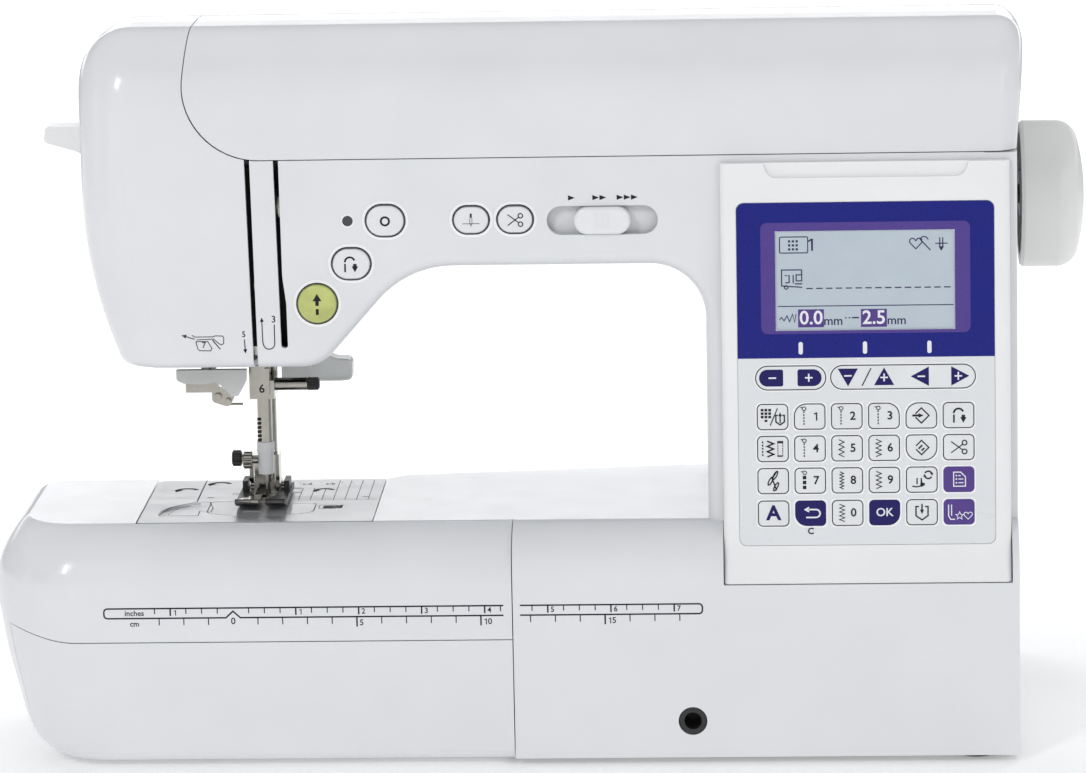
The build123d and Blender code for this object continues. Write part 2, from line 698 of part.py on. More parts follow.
def power_switch():
    rocker = outline([(-8.5, -2, 1), (8.5, -2, 1), (8.5, 3.4, 1), (0, 2.2, 12), (-8.5, 3.4, 1)])
    body = extrude(Plane.XY * rocker, amount=8, both=True)
    rocker_part = Pos(COLUMN_RIGHT - 3.0, 55.5, 69) * Rot(0, 90, 0) * Rot(90, 0, 0) * body
    return rocker_part + rod_y(46.2, 64.8, COLUMN_RIGHT - 3.5, 69, 1.4)


def drive_motor():
    motor = rod_x(112, 162, 30, 78, 19)
    motor = fillet(edges_near(motor, lambda c: True), 2)
    motor += rod_x(161, 163.6, 30, 78, 8)
    foot = box(116, 150, 18, 42, 56, 62)
    return motor + foot - rod_x(155, 170, 30, 78, 2.7)


def motor_pulley():
    return rod_x(164, 176, 30, 78, 6) + rod_x(157, 165, 30, 78, 2.5)


def belt_loop(x0, x1, low, high, r_low, r_high):
    """Flat belt round two pulleys; low and high are (y, z) centres."""
    def hull(grow):
        dy, dz = high[0] - low[0], high[1] - low[1]
        length = hypot(dy, dz)
        lean = atan2(dz, dy)
        swing = asin((r_low - r_high) / length)
        corners = []
        for centre, radius, angle in (
            (low, r_low + grow, lean + pi / 2 - swing),
            (high, r_high + grow, lean + pi / 2 - swing),
            (high, r_high + grow, lean - pi / 2 + swing),
            (low, r_low + grow, lean - pi / 2 + swing),
        ):
            corners.append((centre[0] + radius * cos(angle), centre[1] + radius * sin(angle)))
        web = make_face(Polyline(*corners, close=True))
        return (along_x(web, x0, x1) + rod_x(x0, x1, *low, r_low + grow)
                + rod_x(x0, x1, *high, r_high + grow))
    return hull(1.6) - hull(0.25)


def motor_belt():
    return belt_loop(167, 173, (30, 78), (SHAFT_Y, SHAFT_Z), 6, 20)


def timing_belt():
    return belt_loop(147, 153, (LOWER_Y, LOWER_Z), (SHAFT_Y, SHAFT_Z), 14, 14)


# ---------------------------------------------------------------- frame and shafts
def machine_frame():
    """Cast frame: upper beam, column and bed beam, with bearing lugs and bar guides."""
    upper = box(-128, 144, 6, 18, 206, 236) + box(138, 187, 17, 27, 206, 236)
    column = box(92, 110, -4, 18, 12, 236)
    bed = box(-150, 110, -12, 0, 44, 62)
    frame = upper + column + bed
    for x in (-92, 64, 182):
        frame += box(x - 5, x + 5, SHAFT_Y - 8, 12, SHAFT_Z - 8, SHAFT_Z + 8)
    frame += box(177, 187, 0, 27, 210, 226)
    for x in (-98, 84):
        frame += box(x - 5, x + 5, LOWER_Y - 8, -8, LOWER_Z - 8, LOWER_Z + 8)
    frame += box(84, 100, -14, 0, 44, 62)
    head = box(-124, -104, 0, 9, 166, 236)
    for z in (167, 192):
        head += box(-124, -104, NEEDLE_Y - 7, 1, z, z + 6)
    # narrower than the guides below, so that the crank pin passes it
    head += box(-124, -107.5, PRESSER_Y - 6, 1, 226, 232)
    frame += head
    # bracket for the presser foot lever, below the head
    frame += box(-110, -98, 2, 9, 140, 168)
    for x in (-92, 64, 182):
        frame -= rod_x(x - 6, x + 6, SHAFT_Y, SHAFT_Z, 6.05)
    for x in (-98, 84):
        frame -= rod_x(x - 6, x + 6, LOWER_Y, LOWER_Z, 6.05)
    frame -= rod_z(150, 200, NEEDLE_X, NEEDLE_Y, 3.05)
    frame -= rod_z(150, 240, NEEDLE_X, PRESSER_Y, 3.55)
    frame += rod_y(8, 25, LEVER_X, LEVER_Z, 2.5)
    return frame


def shaft_bushes():
    bushes = []
    for x, y, z in ((-92, SHAFT_Y, SHAFT_Z), (64, SHAFT_Y, SHAFT_Z), (182, SHAFT_Y, SHAFT_Z),
                    (-98, LOWER_Y, LOWER_Z), (84, LOWER_Y, LOWER_Z)):
        ring = rod_x(x - 5, x + 5, y, z, 6.0) - rod_x(x - 6, x + 6, y, z, SHAFT_R + 0.05)
        bushes.append(ring)
    return Compound(children=bushes)


def upper_shaft():
    shaft = rod_x(-100, 211, SHAFT_Y, SHAFT_Z, SHAFT_R)
    shaft += rod_x(146, 154, SHAFT_Y, SHAFT_Z, 14) + rod_x(166, 174, SHAFT_Y, SHAFT_Z, 20)
    crank = rod_x(-103, -98.5, SHAFT_Y, SHAFT_Z, 11)
    pin = rod_x(-106.5, -102, SHAFT_Y, SHAFT_Z - 7.5, 2.2)
    return shaft + crank + pin


def lower_shaft():
    shaft = rod_x(-122, 155, LOWER_Y, LOWER_Z, SHAFT_R)
    shaft += rod_x(146, 154, LOWER_Y, LOWER_Z, 14)
    gear = rod_x(-121, -108, LOWER_Y, LOWER_Z, 8.8)
    for tooth in range(2 * HOOK_TEETH):
        angle = 180 / HOOK_TEETH * tooth
        blade = box(-121, -108, -0.8, 0.8, 8.4, 10.1)
        gear += Pos(0, LOWER_Y, LOWER_Z) * Rot(angle, 0, 0) * blade
    return shaft + gear


def rotary_hook():
    """Cup that turns round the bobbin case, on a stem with a small gear."""
    cup = rod_z(74, 92, NEEDLE_X, HOOK_Y, HOOK_R) - rod_z(77, 93, NEEDLE_X, HOOK_Y, 15.4)
    stem = rod_z(44, 75, NEEDLE_X, HOOK_Y, 4)
    gear = rod_z(46, 60, NEEDLE_X, HOOK_Y, 8.4)
    for tooth in range(HOOK_TEETH):
        angle = 360 / HOOK_TEETH * tooth
        blade = box(8.0, 9.8, -0.8, 0.8, 46, 60)
        gear += Pos(NEEDLE_X, HOOK_Y, 0) * Rot(0, 0, angle) * blade
    notch = box(NEEDLE_X - 20, NEEDLE_X - 11, HOOK_Y + 2, HOOK_Y + 9, 86, 93)
    return cup - notch + stem + gear


def bobbin_case():
    case = rod_z(78, 93.4, NEEDLE_X, HOOK_Y, 14.6) - rod_z(80, 95, NEEDLE_X, HOOK_Y, 11.2)
    flange = rod_z(92.4, 94.4, NEEDLE_X, HOOK_Y, 16.6) - rod_z(90, 96, NEEDLE_X, HOOK_Y, 12.2)
    spring = box(NEEDLE_X + 11.5, NEEDLE_X + 14.2, HOOK_Y - 4, HOOK_Y + 4, 93, 94.9)
    return case + flange + spring


def bobbin():
    low, high, radius = 80.6, 92.0, 10.2
    reel = rod_z(low, low + 1, NEEDLE_X, HOOK_Y, radius)
    reel += rod_z(high - 1, high, NEEDLE_X, HOOK_Y, radius)
    reel += rod_z(low, high, NEEDLE_X, HOOK_Y, 4.5)
    reel -= rod_z(low - 1, high + 1, NEEDLE_X, HOOK_Y, 3.1)
    for hole in range(6):
        angle = radians(60 * hole)
        x, y = NEEDLE_X + 7.4 * cos(angle), HOOK_Y + 7.4 * sin(angle)
        reel -= rod_z(low - 1, high + 1, x, y, 1.0)
    return reel


# ---------------------------------------------------------------- needle, presser bar, threader
def needle_bar():
    bar = rod_z(118, 205, NEEDLE_X, NEEDLE_Y, 3.0)
    return chamfer(edges_near(bar, lambda c: c.Z > 204), 0.6)


def needle_clamp():
    """Clamp under the needle bar, and its screw with a knurled head."""
    body = rod_z(109, 118, NEEDLE_X, NEEDLE_Y, 3.2)
    body += rod_z(118, 122.5, NEEDLE_X, NEEDLE_Y, 3.6) - rod_z(118, 123, NEEDLE_X, NEEDLE_Y, 3.0)
    body -= rod_z(108, 118, NEEDLE_X, NEEDLE_Y, 0.85)
    screw = rod_x(NEEDLE_X - 6, NEEDLE_X - 3.3, NEEDLE_Y, 114.5, 1.4)
    head = rod_x(NEEDLE_X - 9.4, NEEDLE_X - 5.6, NEEDLE_Y, 114.5, 3.2)
    head = chamfer(head.edges(), 0.4)
    return Compound(children=[body, screw + head])


def needle():
    shank = rod_z(105, 117.6, NEEDLE_X, NEEDLE_Y, 0.8)
    blade = rod_z(87, 105.2, NEEDLE_X, NEEDLE_Y, 0.42)
    tip = Pos(NEEDLE_X, NEEDLE_Y, 85.5) * Cone(0.05, 0.42, 3.0)
    eye = box(NEEDLE_X - 0.14, NEEDLE_X + 0.14, NEEDLE_Y - 1, NEEDLE_Y + 1, 88, 89.6)
    return shank + blade + tip - eye


def thread_guide_bracket():
    """Block round the needle bar under the head, with its clamping screw."""
    block = box(-119.0, -108.8, -43.5, -28.5, 142, 149.6)
    block += box(-119.0, -110.6, -43.5, -38.5, 149, 156)
    # the needle clamp and its screw rise into the block
    block -= rod_z(140, 160, NEEDLE_X, NEEDLE_Y, 3.9)
    block -= box(-120, -117, NEEDLE_Y - 1.9, NEEDLE_Y + 1.9, 140, 147.6)
    hook = box(-112.6, -110.6, -45.4, -43, 144, 155)
    stay = box(-118.2, -108.8, -32, -27.5, 149, 166.7)
    stay -= rod_z(140, 170, NEEDLE_X, NEEDLE_Y, 3.9)
    rod = rod_x(-109.2, -95.6, -38, 147.2, 2.6)
    knob = rod_x(-95.9, -90.6, -38, 147.2, 2.3)
    knob = chamfer(edges_near(knob, lambda c: c.X > -91), 0.5)
    return Compound(children=[block + hook + stay, rod + knob])


def take_up_lever():
    """Arm from a pivot behind the needle bar to an eye in the left thread slot."""
    arm = outline([
        (TAKE_UP_Y + 4, TAKE_UP_Z + 4, 3.5), (TAKE_UP_Y - 4, TAKE_UP_Z + 4, 3.5),
        (-72.5, 196, 2.0), (-72.5, 191, 2.0), (TAKE_UP_Y + 4, TAKE_UP_Z - 4, 3.5),
    ])
    lever = along_x(arm, -112.8, -111.0)
    lever -= rod_x(-114, -110, -70.0, 193.8, 1.0)
    return lever - rod_x(-114, -110, TAKE_UP_Y, TAKE_UP_Z, 1.6)


def thread_channel():
    """Dark trough behind the two thread slots."""
    trough = box(-121, -97, -76.2, -56, 166.8, DECK_Z - 0.6)
    trough -= box(-119.2, -107.6, -80, -58, 160, 250)
    trough -= box(-106.0, -98.6, -80, -58, 168.4, 250)
    trough -= box(-113.4, -110.4, -60, -50, 160, 250)
    trough += rod_x(-119.5, -113.4, TAKE_UP_Y, TAKE_UP_Z, 3.4)
    trough += box(-119.5, -113.4, -58.5, TAKE_UP_Y, TAKE_UP_Z - 3, TAKE_UP_Z + 3)
    trough += rod_x(-114, -110.9, TAKE_UP_Y, TAKE_UP_Z, 1.5)
    return trough


def tension_unit():
    discs = rod_x(-105.4, -102.6, -67, 226, 7) + rod_x(-102.2, -99.2, -67, 226, 7)
    return discs + rod_x(-105.9, -98.8, -67, 226, 1.6)


def presser_bar():
    bar = rod_z(104.5, 218, NEEDLE_X, PRESSER_Y, 3.5)
    collar = rod_z(199.2, 204, NEEDLE_X, PRESSER_Y, 5.6)
    return bar + collar


SPRING_LOW = 204.2
SPRING_HIGH = 225.8


def presser_spring():
    wire = 0.7
    pitch = (SPRING_HIGH - SPRING_LOW - 2 * wire) / 6
    path = Helix(pitch, SPRING_HIGH - SPRING_LOW - 2 * wire, 4.7)
    start = path @ 0
    section = Plane(origin=start, z_dir=path % 0) * Circle(wire)
    return Pos(NEEDLE_X, PRESSER_Y, SPRING_LOW + wire) * sweep(section, path=path, is_frenet=True)


def foot_holder():
    """Ankle on the presser bar with its screw, which has a knurled head."""
    block = box(-122, -109.5, -27, -13.5, 103.6, 115)
    block = fillet(edges_near(block, lambda c: abs(c.Z - 109.3) < 0.1), 2.5)
    block -= rod_z(104.5, 116, NEEDLE_X, PRESSER_Y, 3.5)
    ankle = box(-119.5, -108.5, -32, -20, 101.2, 104.2)
    ankle -= box(-117.5, -110.5, -40, -29, 100, 106)
    pin = rod_x(-121.5, -106.5, -25, 102.4, 1.0)
    screw = rod_x(-125.6, -121.9, PRESSER_Y, 112.4, 1.6)
    head = rod_x(-129.4, -125.4, PRESSER_Y, 112.4, 3.0)
    head = chamfer(head.edges(), 0.4)
    return Compound(children=[block + ankle + pin, screw + head])


def presser_foot():
    """Zigzag foot: sole with two toes, side cheeks and a wide needle slot."""
    sole = outline([
        (-58, 101.6, 0), (-57.2, 103.2, 1), (-50, 101.2, 10), (-14.5, 101.0, 0),
        (-14.5, 98.5, 1), (-50, 98.5, 14),
    ])
    foot = along_x(sole, -125, -104.5)
    foot -= box(-118.6, -109.4, -39.5, -28, 95, 106)
    foot -= box(-115.4, -112.6, -60, -39, 95, 106)
    for x in (-124.4, -107.3):
        foot += box(x, x + 2.2, -30, -20, 100.8, 104.8)
    foot -= rod_x(-122.0, -106.0, -25, 102.4, 1.15)
    return foot


def presser_foot_lever():
    shape = outline([
        (LEVER_X - 6, LEVER_Z - 5, 4.5), (LEVER_X - 2, LEVER_Z - 8, 3),
        (-86, 137.9, 4), (-81.3, 138.4, 2.4), (-81.3, 147.2, 2.4), (-88, 147.6, 4),
        (LEVER_X + 5, LEVER_Z + 6, 5), (LEVER_X - 6, LEVER_Z + 6, 4.5),
    ])
    lever = along_y(shape, 13, 23)
    lever = fillet(edges_near(lever, lambda c: c.X > -81.8), 1.2)
    return lever - rod_y(12, 24, LEVER_X, LEVER_Z, 2.55)


def threader_lever():
    """Finger tab left of the head, on a carriage inside it."""
    tab = outline([(-172, 253, 0), (-201.5, 253, 1.5), (-202.5, 246.6, 2), (-190, 243, 3),
                   (-184, 240.5, 0), (-172, 240.5, 0)])
    lever = along_y(tab, -25.6, -12.4)
    return lever + box(-174, -166, -28, -10, 238, 256)


def threader_head():
    """Rod inside the head that ends in the threader's hook bracket and pale guide."""
    rod = rod_z(152, 228, -136, -46, 1.8)
    bracket = box(-144.6, -131, -48.5, -43.5, 146, 153)
    arm = outline([(-134, 147.4, 0), (-134, 142, 2), (-127, 139.6, 2), (-124.4, 144.5, 1.5),
                   (-128, 147.4, 0)])
    bracket += along_y(arm, -48, -44)
    bracket += rod_y(-50.2, -42.6, -131.6, 144, 1.7) + rod_y(-50.2, -42.6, -127.4, 142.2, 1.3)
    hook = rod_x(-127, -121.5, -46, 140.6, 0.5)
    guard = outline([(-147.6, 156.5, 0), (-147.6, 152.4, 1.2), (-144.6, 150.9, 1),
                     (-136.5, 150.6, 5), (-131, 151.6, 4), (-125.2, 145.6, 1.2),
                     (-122.4, 145.6, 1.2), (-119.2, 151.4, 2), (-118.9, 156.5, 0)])
    shield = along_y(guard, -54.5, -51.8)
    link = box(-138, -132, -52, -46, 152, 156)
    return Compound(children=[rod + bracket + hook + link + shield])


# ---------------------------------------------------------------- bed
def plate_outline():
    return outline([
        (FREE_ARM_LEFT - 0.2, FREE_ARM_FRONT + 0.1, 1), (PLATE_RIGHT, FREE_ARM_FRONT + 0.1, 1),
        (PLATE_RIGHT, FREE_ARM_BACK - 0.1, 1), (FREE_ARM_LEFT - 0.2, FREE_ARM_BACK - 0.1, 4),
    ])


def cover_outline(gap):
    return outline([
        (-136.5 - gap, -36.5 + gap, 3), (-136.5 - gap, -58 - gap, 6), (-124, -64 - gap, 14),
        (-106, -64 - gap, 14), (-93.2 + gap, -58 - gap, 6), (-93.2 + gap, -41.5 + gap, 2),
        (-104, -41.5 + gap, 2), (-104, -38.6 + gap, 1), (-124, -38.6 + gap, 1), (-124, -36.5 + gap, 1),
    ])


DOG_ROWS = ((-122.0, -119.4, -35.5, -14.5), (-108.6, -106.0, -35.5, -14.5),
            (-116.6, -111.4, -27.5, -15.5))


def needle_plate():
    top = BED_TOP
    plate = along_z(plate_outline(), top - PLATE_THICK, top)
    plate -= along_z(cover_outline(SEAM), 80, 110)
    for x0, x1, y0, y1 in DOG_ROWS:
        plate -= box(x0 - 0.5, x1 + 0.5, y0 - 0.8, y1 + 0.8, 80, 110)
    plate -= along_z(Pos(NEEDLE_X, NEEDLE_Y) * SlotOverall(8.4, 2.0), 80, 110)
    # sickle-shaped finger recess left of the bobbin cover
    sickle = make_face([
        ThreePointArc((-156, -62), (-152, -45), (-141, -37.5)),
        Line((-141, -37.5), (-140, -50)),
        ThreePointArc((-140, -50), (-146, -56), (-156, -62)),
    ])
    plate -= along_z(sickle, top - 0.8, 110)
    # split line of the left part, and the latch's window
    plate -= box(-143.3, -142.9, -34, 10, top - 0.5, 110)
    plate -= box(-89.6, -81.6, -51.2, -45.8, 80, 110)
    return plate


def bobbin_cover():
    cover = along_z(cover_outline(0), BED_TOP - PLATE_THICK, BED_TOP)
    return cover - along_z(Pos(-118, -56) * SlotOverall(9, 3.6), BED_TOP - 0.6, 110)


def bobbin_cover_latch():
    top = BED_TOP - 0.2
    latch = box(-89.0, -84.4, -50.8, -46.2, top - 1.4, top)
    foot = box(-94, -80, -53, -44, top - 2.8, top - 1.7)
    return latch + box(-88, -85.4, -50, -47, top - 2, top - 1) + foot


def feed_dogs():
    dogs = box(-128, -100, -33.5, -8, 84, 88)
    for x0, x1, y0, y1 in DOG_ROWS:
        row = box(x0, x1, y0, y1, 87, 97.6)
        count = int((y1 - y0) / 2.1)
        for tooth in range(count):
            y = y0 + 1.05 + 2.1 * tooth
            ridge = make_face(Polyline((y - 1.0, 97.5), (y + 1.0, 97.5), (y, 98.2), close=True))
            row += along_x(ridge, x0, x1)
        dogs += row
    return dogs


def feed_drop_lever():
    return box(-104, -100, 1, 9.5, 59.5, 64.5) + box(-112, -92, 0.6, 1.9, 57.5, 66.5)


def knee_lifter_socket():
    socket = rod_y(-94.6, -76, 61.6, 18.1, 5.4)
    socket += rod_y(-92, -90.4, 61.6, 18.1, 8.5)
    return socket - rod_y(-95, -79, 61.6, 18.1, 3.5)


# ---------------------------------------------------------------- flat bed attachment
# Levels of the attachment: height, how far the left end is drawn in, how far
# the front is drawn in, and the plan radius of the front-left corner.
LEVELS = (
    (FOOT_HEIGHT, 25.0, 3.0, 22.0),
    (6.5, 19.0, 0.8, 24.0),
    (13.0, 13.2, 0.1, 28.0),
    (26.0, 8.6, 0.0, 31.0),
    (42.0, 4.4, 0.0, 33.0),
    (58.0, 1.5, 0.0, 34.0),
    (71.0, 0.0, 0.0, 35.0),
    (79.0, 0.9, 0.5, 34.0),
    (86.0, 3.6, 3.4, 32.0),
    (92.0, 7.2, 8.2, 29.0),
    (96.2, 10.6, 15.0, 25.0),
    (BED_TOP, 13.2, 20.0, 21.0),
)


def attachment_section(z, left_in, front_in, radius, t):
    left = LEFT + left_in + t
    front = FRONT + front_in + t
    right = BASE_LEFT - SEAM
    back = FREE_ARM_BACK + 2 - t
    face = outline([
        (left, front, radius), (right - t, front, 0),
        (right - t, back, 0), (left, back, 8),
    ])
    return Pos(0, 0, z) * face


def attachment_block(t):
    sections = []
    for z, left_in, front_in, radius in LEVELS:
        height = min(max(z, FOOT_HEIGHT + t), BED_TOP - t)
        sections.append(attachment_section(height, left_in, front_in, radius, t))
    if t:
        sections = sections[1:-1]
    return loft(sections)


def attachment_shell():
    """Hollow L-shaped box round the front and left of the free arm."""
    gap = 2 * SEAM
    arm_space = box(FREE_ARM_LEFT - gap, 50, FREE_ARM_FRONT - gap, 60, -10, 150)
    wall_space = box(FREE_ARM_LEFT - gap - WALL, 50, FREE_ARM_FRONT - gap - WALL, 60, -10, 150)
    return (attachment_block(0) - arm_space) - (attachment_block(WALL) - wall_space)


def door_region(gap):
    """Lower front of the attachment, with the seam rising round the left corner."""
    seam = outline([
        (-216.5 - gap, -10, 0), (BASE_LEFT + 5, -10, 0), (BASE_LEFT + 5, DOOR_TOP + gap, 0),
        (-193.6, DOOR_TOP + gap, 60), (-216.5 - gap, 58 + gap, 0),
    ])
    return along_y(seam, -120, -79.5 + gap)


def flat_bed_attachment(shell):
    return shell - door_region(SEAM / 2)


def accessory_door(shell):
    door = shell & door_region(-SEAM / 2)
    # at the right only the front wall is the door's, so that it swings clear
    skin_back = FRONT + WALL + 1.5
    door &= box(-250, BASE_LEFT - SEAM - WALL - CLEAR, -120, -79.9, -10, 80) + box(
        -60, BASE_LEFT, -120, skin_back, -10, 80)
    return door + rod_x(-150, -30, DOOR_AXIS_Y, DOOR_AXIS_Z, 1.3)


# ---------------------------------------------------------------- write every node
def main():
    os.makedirs("parts", exist_ok=True)
    shell = housing_solid(0) - housing_solid(WALL)
    bed_shell = attachment_shell()
    nodes = {
        "front_housing": front_housing(shell),
        "rear_housing": rear_housing(shell),
        "top_cover": top_cover(shell),
        "base_plate": base_plate(),
        "rubber_feet": rubber_feet(),
        "housing_screws": housing_screws(),
        "carry_handle": carry_handle(),
        "hinge_pins": hinge_pins(),
        "spool_tray": spool_tray(),
        "spool_pin": spool_pin(),
        "spool_cap": spool_cap(),
        "bobbin_winder_arm": winder_arm(),
        "bobbin_winder_shaft": winder_shaft(),
        "panel_frame": panel_frame(),
        "panel_overlay": panel_overlay(),
        "screen_module": screen_module(),
        "circuit_boards": circuit_boards(),
        "speed_slider": speed_slider(),
        "lamp_lenses": lamp_lenses(),
        "handwheel": handwheel(),
        "connector_panel": connector_panel(),
        "power_switch": power_switch(),
        "drive_motor": drive_motor(),
        "motor_pulley": motor_pulley(),
        "motor_belt": motor_belt(),
        "timing_belt": timing_belt(),
        "machine_frame": machine_frame(),
        "shaft_bushes": shaft_bushes(),
        "upper_shaft": upper_shaft(),
        "lower_shaft": lower_shaft(),
        "rotary_hook": rotary_hook(),
        "bobbin_case": bobbin_case(),
        "bobbin": bobbin(),
        "needle_bar": needle_bar(),
        "needle_clamp": needle_clamp(),
        "needle": needle(),
        "thread_guide_bracket": thread_guide_bracket(),
        "take_up_lever": take_up_lever(),
        "thread_channel": thread_channel(),
        "tension_unit": tension_unit(),
        "presser_bar": presser_bar(),
        "presser_spring": presser_spring(),
        "foot_holder": foot_holder(),
        "presser_foot": presser_foot(),
        "presser_foot_lever": presser_foot_lever(),
        "threader_lever": threader_lever(),
        "threader_head": threader_head(),
        "needle_plate": needle_plate(),
        "bobbin_cover": bobbin_cover(),
        "bobbin_cover_latch": bobbin_cover_latch(),
        "feed_dogs": feed_dogs(),
        "feed_drop_lever": feed_drop_lever(),
        "knee_lifter_socket": knee_lifter_socket(),
        "flat_bed_attachment": flat_bed_attachment(bed_shell),
        "accessory_door": accessory_door(bed_shell),
    }
    for name in BUTTONS:
        nodes[name] = button(name)
    for name, part in nodes.items():
        export_step(part, f"parts/{name}.step")


main()
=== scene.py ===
import json
from math import atan2, cos, hypot, pi, radians, sin

import bpy
from mathutils import Matrix, Vector


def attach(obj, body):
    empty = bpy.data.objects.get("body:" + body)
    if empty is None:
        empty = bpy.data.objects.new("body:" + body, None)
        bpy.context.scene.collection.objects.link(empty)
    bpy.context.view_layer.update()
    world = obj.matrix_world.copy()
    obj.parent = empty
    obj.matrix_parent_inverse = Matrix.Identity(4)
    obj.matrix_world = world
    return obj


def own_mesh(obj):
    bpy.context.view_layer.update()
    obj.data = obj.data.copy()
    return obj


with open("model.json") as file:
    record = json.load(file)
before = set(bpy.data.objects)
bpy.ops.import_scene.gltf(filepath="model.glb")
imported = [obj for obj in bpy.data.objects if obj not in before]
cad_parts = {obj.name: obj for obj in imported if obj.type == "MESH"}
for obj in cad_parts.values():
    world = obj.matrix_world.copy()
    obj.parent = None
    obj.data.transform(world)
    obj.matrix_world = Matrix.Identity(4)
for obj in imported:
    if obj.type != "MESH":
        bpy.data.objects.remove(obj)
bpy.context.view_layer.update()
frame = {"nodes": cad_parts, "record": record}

MM = 0.001

# ---------------------------------------------------------------- where the printed faces are, in mm
ARM_FRONT = -79.0
BASE_FRONT = -95.0
BED_TOP = 97.6
CAP_FRONT = -80.3           # front faces of the five push buttons
GUIDE_FRONT = -43.5         # front of the thread guide under the head
PANEL_FOOT = (-91.0, 88.0)  # (y, z) of the lower edge of the leaning control panel
PANEL_TOP = (-83.3, 243.2)
GLASS_DEPTH = -0.7          # the screen's glass lies this far below the film
PRINT = 0.04                # thickness of one layer of print

# ---------------------------------------------------------------- colours, linear
WHITE_BODY = (0.755, 0.765, 0.785)
WHITE_COLUMN = (0.85, 0.855, 0.86)
FILM = (0.75, 0.765, 0.785)
NAVY = (0.006, 0.010, 0.20)
NAVY_KEY = (0.010, 0.006, 0.11)
PURPLE = (0.085, 0.05, 0.27)
PURPLE_KEY = (0.09, 0.05, 0.25)
LCD = (0.50, 0.57, 0.63)
LCD_INK = (0.030, 0.025, 0.10)
INK = (0.010, 0.010, 0.016)
GREY_INK = (0.035, 0.036, 0.042)
PRINT_WHITE = (0.80, 0.81, 0.84)
LIME = (0.45, 0.49, 0.16)
NICKEL = (0.40, 0.385, 0.345)
STEEL = (0.83, 0.835, 0.845)
DARK_STEEL = (0.06, 0.06, 0.062)


# ---------------------------------------------------------------- materials
def new_material(name):
    material = bpy.data.materials.new(name)
    material.use_nodes = True
    tree = material.node_tree
    return material, tree, tree.nodes["Principled BSDF"]


def noise(tree, size_mm, detail=2.0, stretch=(1, 1, 1)):
    """Fractal noise with features of the given size on the object."""
    place = tree.nodes.new("ShaderNodeTexCoord")
    spread = tree.nodes.new("ShaderNodeMapping")
    spread.inputs["Scale"].default_value = [1.0 / s for s in stretch]
    field = tree.nodes.new("ShaderNodeTexNoise")
    field.inputs["Scale"].default_value = 1.0 / (size_mm * MM)
    field.inputs["Detail"].default_value = detail
    tree.links.new(place.outputs["Object"], spread.inputs["Vector"])
    tree.links.new(spread.outputs["Vector"], field.inputs["Vector"])
    return field.outputs["Fac"]


def remap(tree, value, low, high):
    """Noise comes out close to 0.5, so its middle range is stretched over low to high."""
    node = tree.nodes.new("ShaderNodeMapRange")
    node.inputs["From Min"].default_value = 0.3
    node.inputs["From Max"].default_value = 0.7
    node.inputs["To Min"].default_value = low
    node.inputs["To Max"].default_value = high
    tree.links.new(value, node.inputs["Value"])
    return node.outputs["Result"]


def two_tone(tree, value, dark, light):
    ramp = tree.nodes.new("ShaderNodeValToRGB")
    ramp.color_ramp.elements[0].position = 0.35
    ramp.color_ramp.elements[1].position = 0.65
    ramp.color_ramp.elements[0].color = (*dark, 1)
    ramp.color_ramp.elements[1].color = (*light, 1)
    tree.links.new(value, ramp.inputs["Fac"])
    return ramp.outputs["Color"]


def surface(name, colour, rough, metal=0.0, vary=0.015, patch_mm=40.0, rough_vary=0.04,
            grain_mm=0.4, relief_mm=0.002, stretch=(1, 1, 1), coat=0.0, clear=0.0, ior=1.5, glow=0.0):
    """A moulded or machined surface: faint tone patches, uneven gloss and a fine relief."""
    material, tree, shader = new_material(name)
    dark = [c * (1 - vary) for c in colour]
    light = [min(1.0, c * (1 + vary)) for c in colour]
    tone = two_tone(tree, noise(tree, patch_mm), dark, light)
    tree.links.new(tone, shader.inputs["Base Color"])
    gloss = remap(tree, noise(tree, patch_mm * 0.4, 3.0, stretch), rough - rough_vary, rough + rough_vary)
    tree.links.new(gloss, shader.inputs["Roughness"])
    shader.inputs["Metallic"].default_value = metal
    shader.inputs["IOR"].default_value = ior
    shader.inputs["Coat Weight"].default_value = coat
    shader.inputs["Coat Roughness"].default_value = 0.06
    shader.inputs["Transmission Weight"].default_value = clear
    if glow:
        shader.inputs["Emission Color"].default_value = (*colour, 1)
        shader.inputs["Emission Strength"].default_value = glow
    bump = tree.nodes.new("ShaderNodeBump")
    bump.inputs["Strength"].default_value = 0.6
    bump.inputs["Distance"].default_value = relief_mm * MM
    tree.links.new(noise(tree, grain_mm, 2.0, stretch), bump.inputs["Height"])
    tree.links.new(bump.outputs["Normal"], shader.inputs["Normal"])
    return material


def ink(name, colour, rough=0.35):
    return surface(name, colour, rough, vary=0.02, patch_mm=12.0, rough_vary=0.02, grain_mm=0.2,
                   relief_mm=0.0004, ior=1.35)


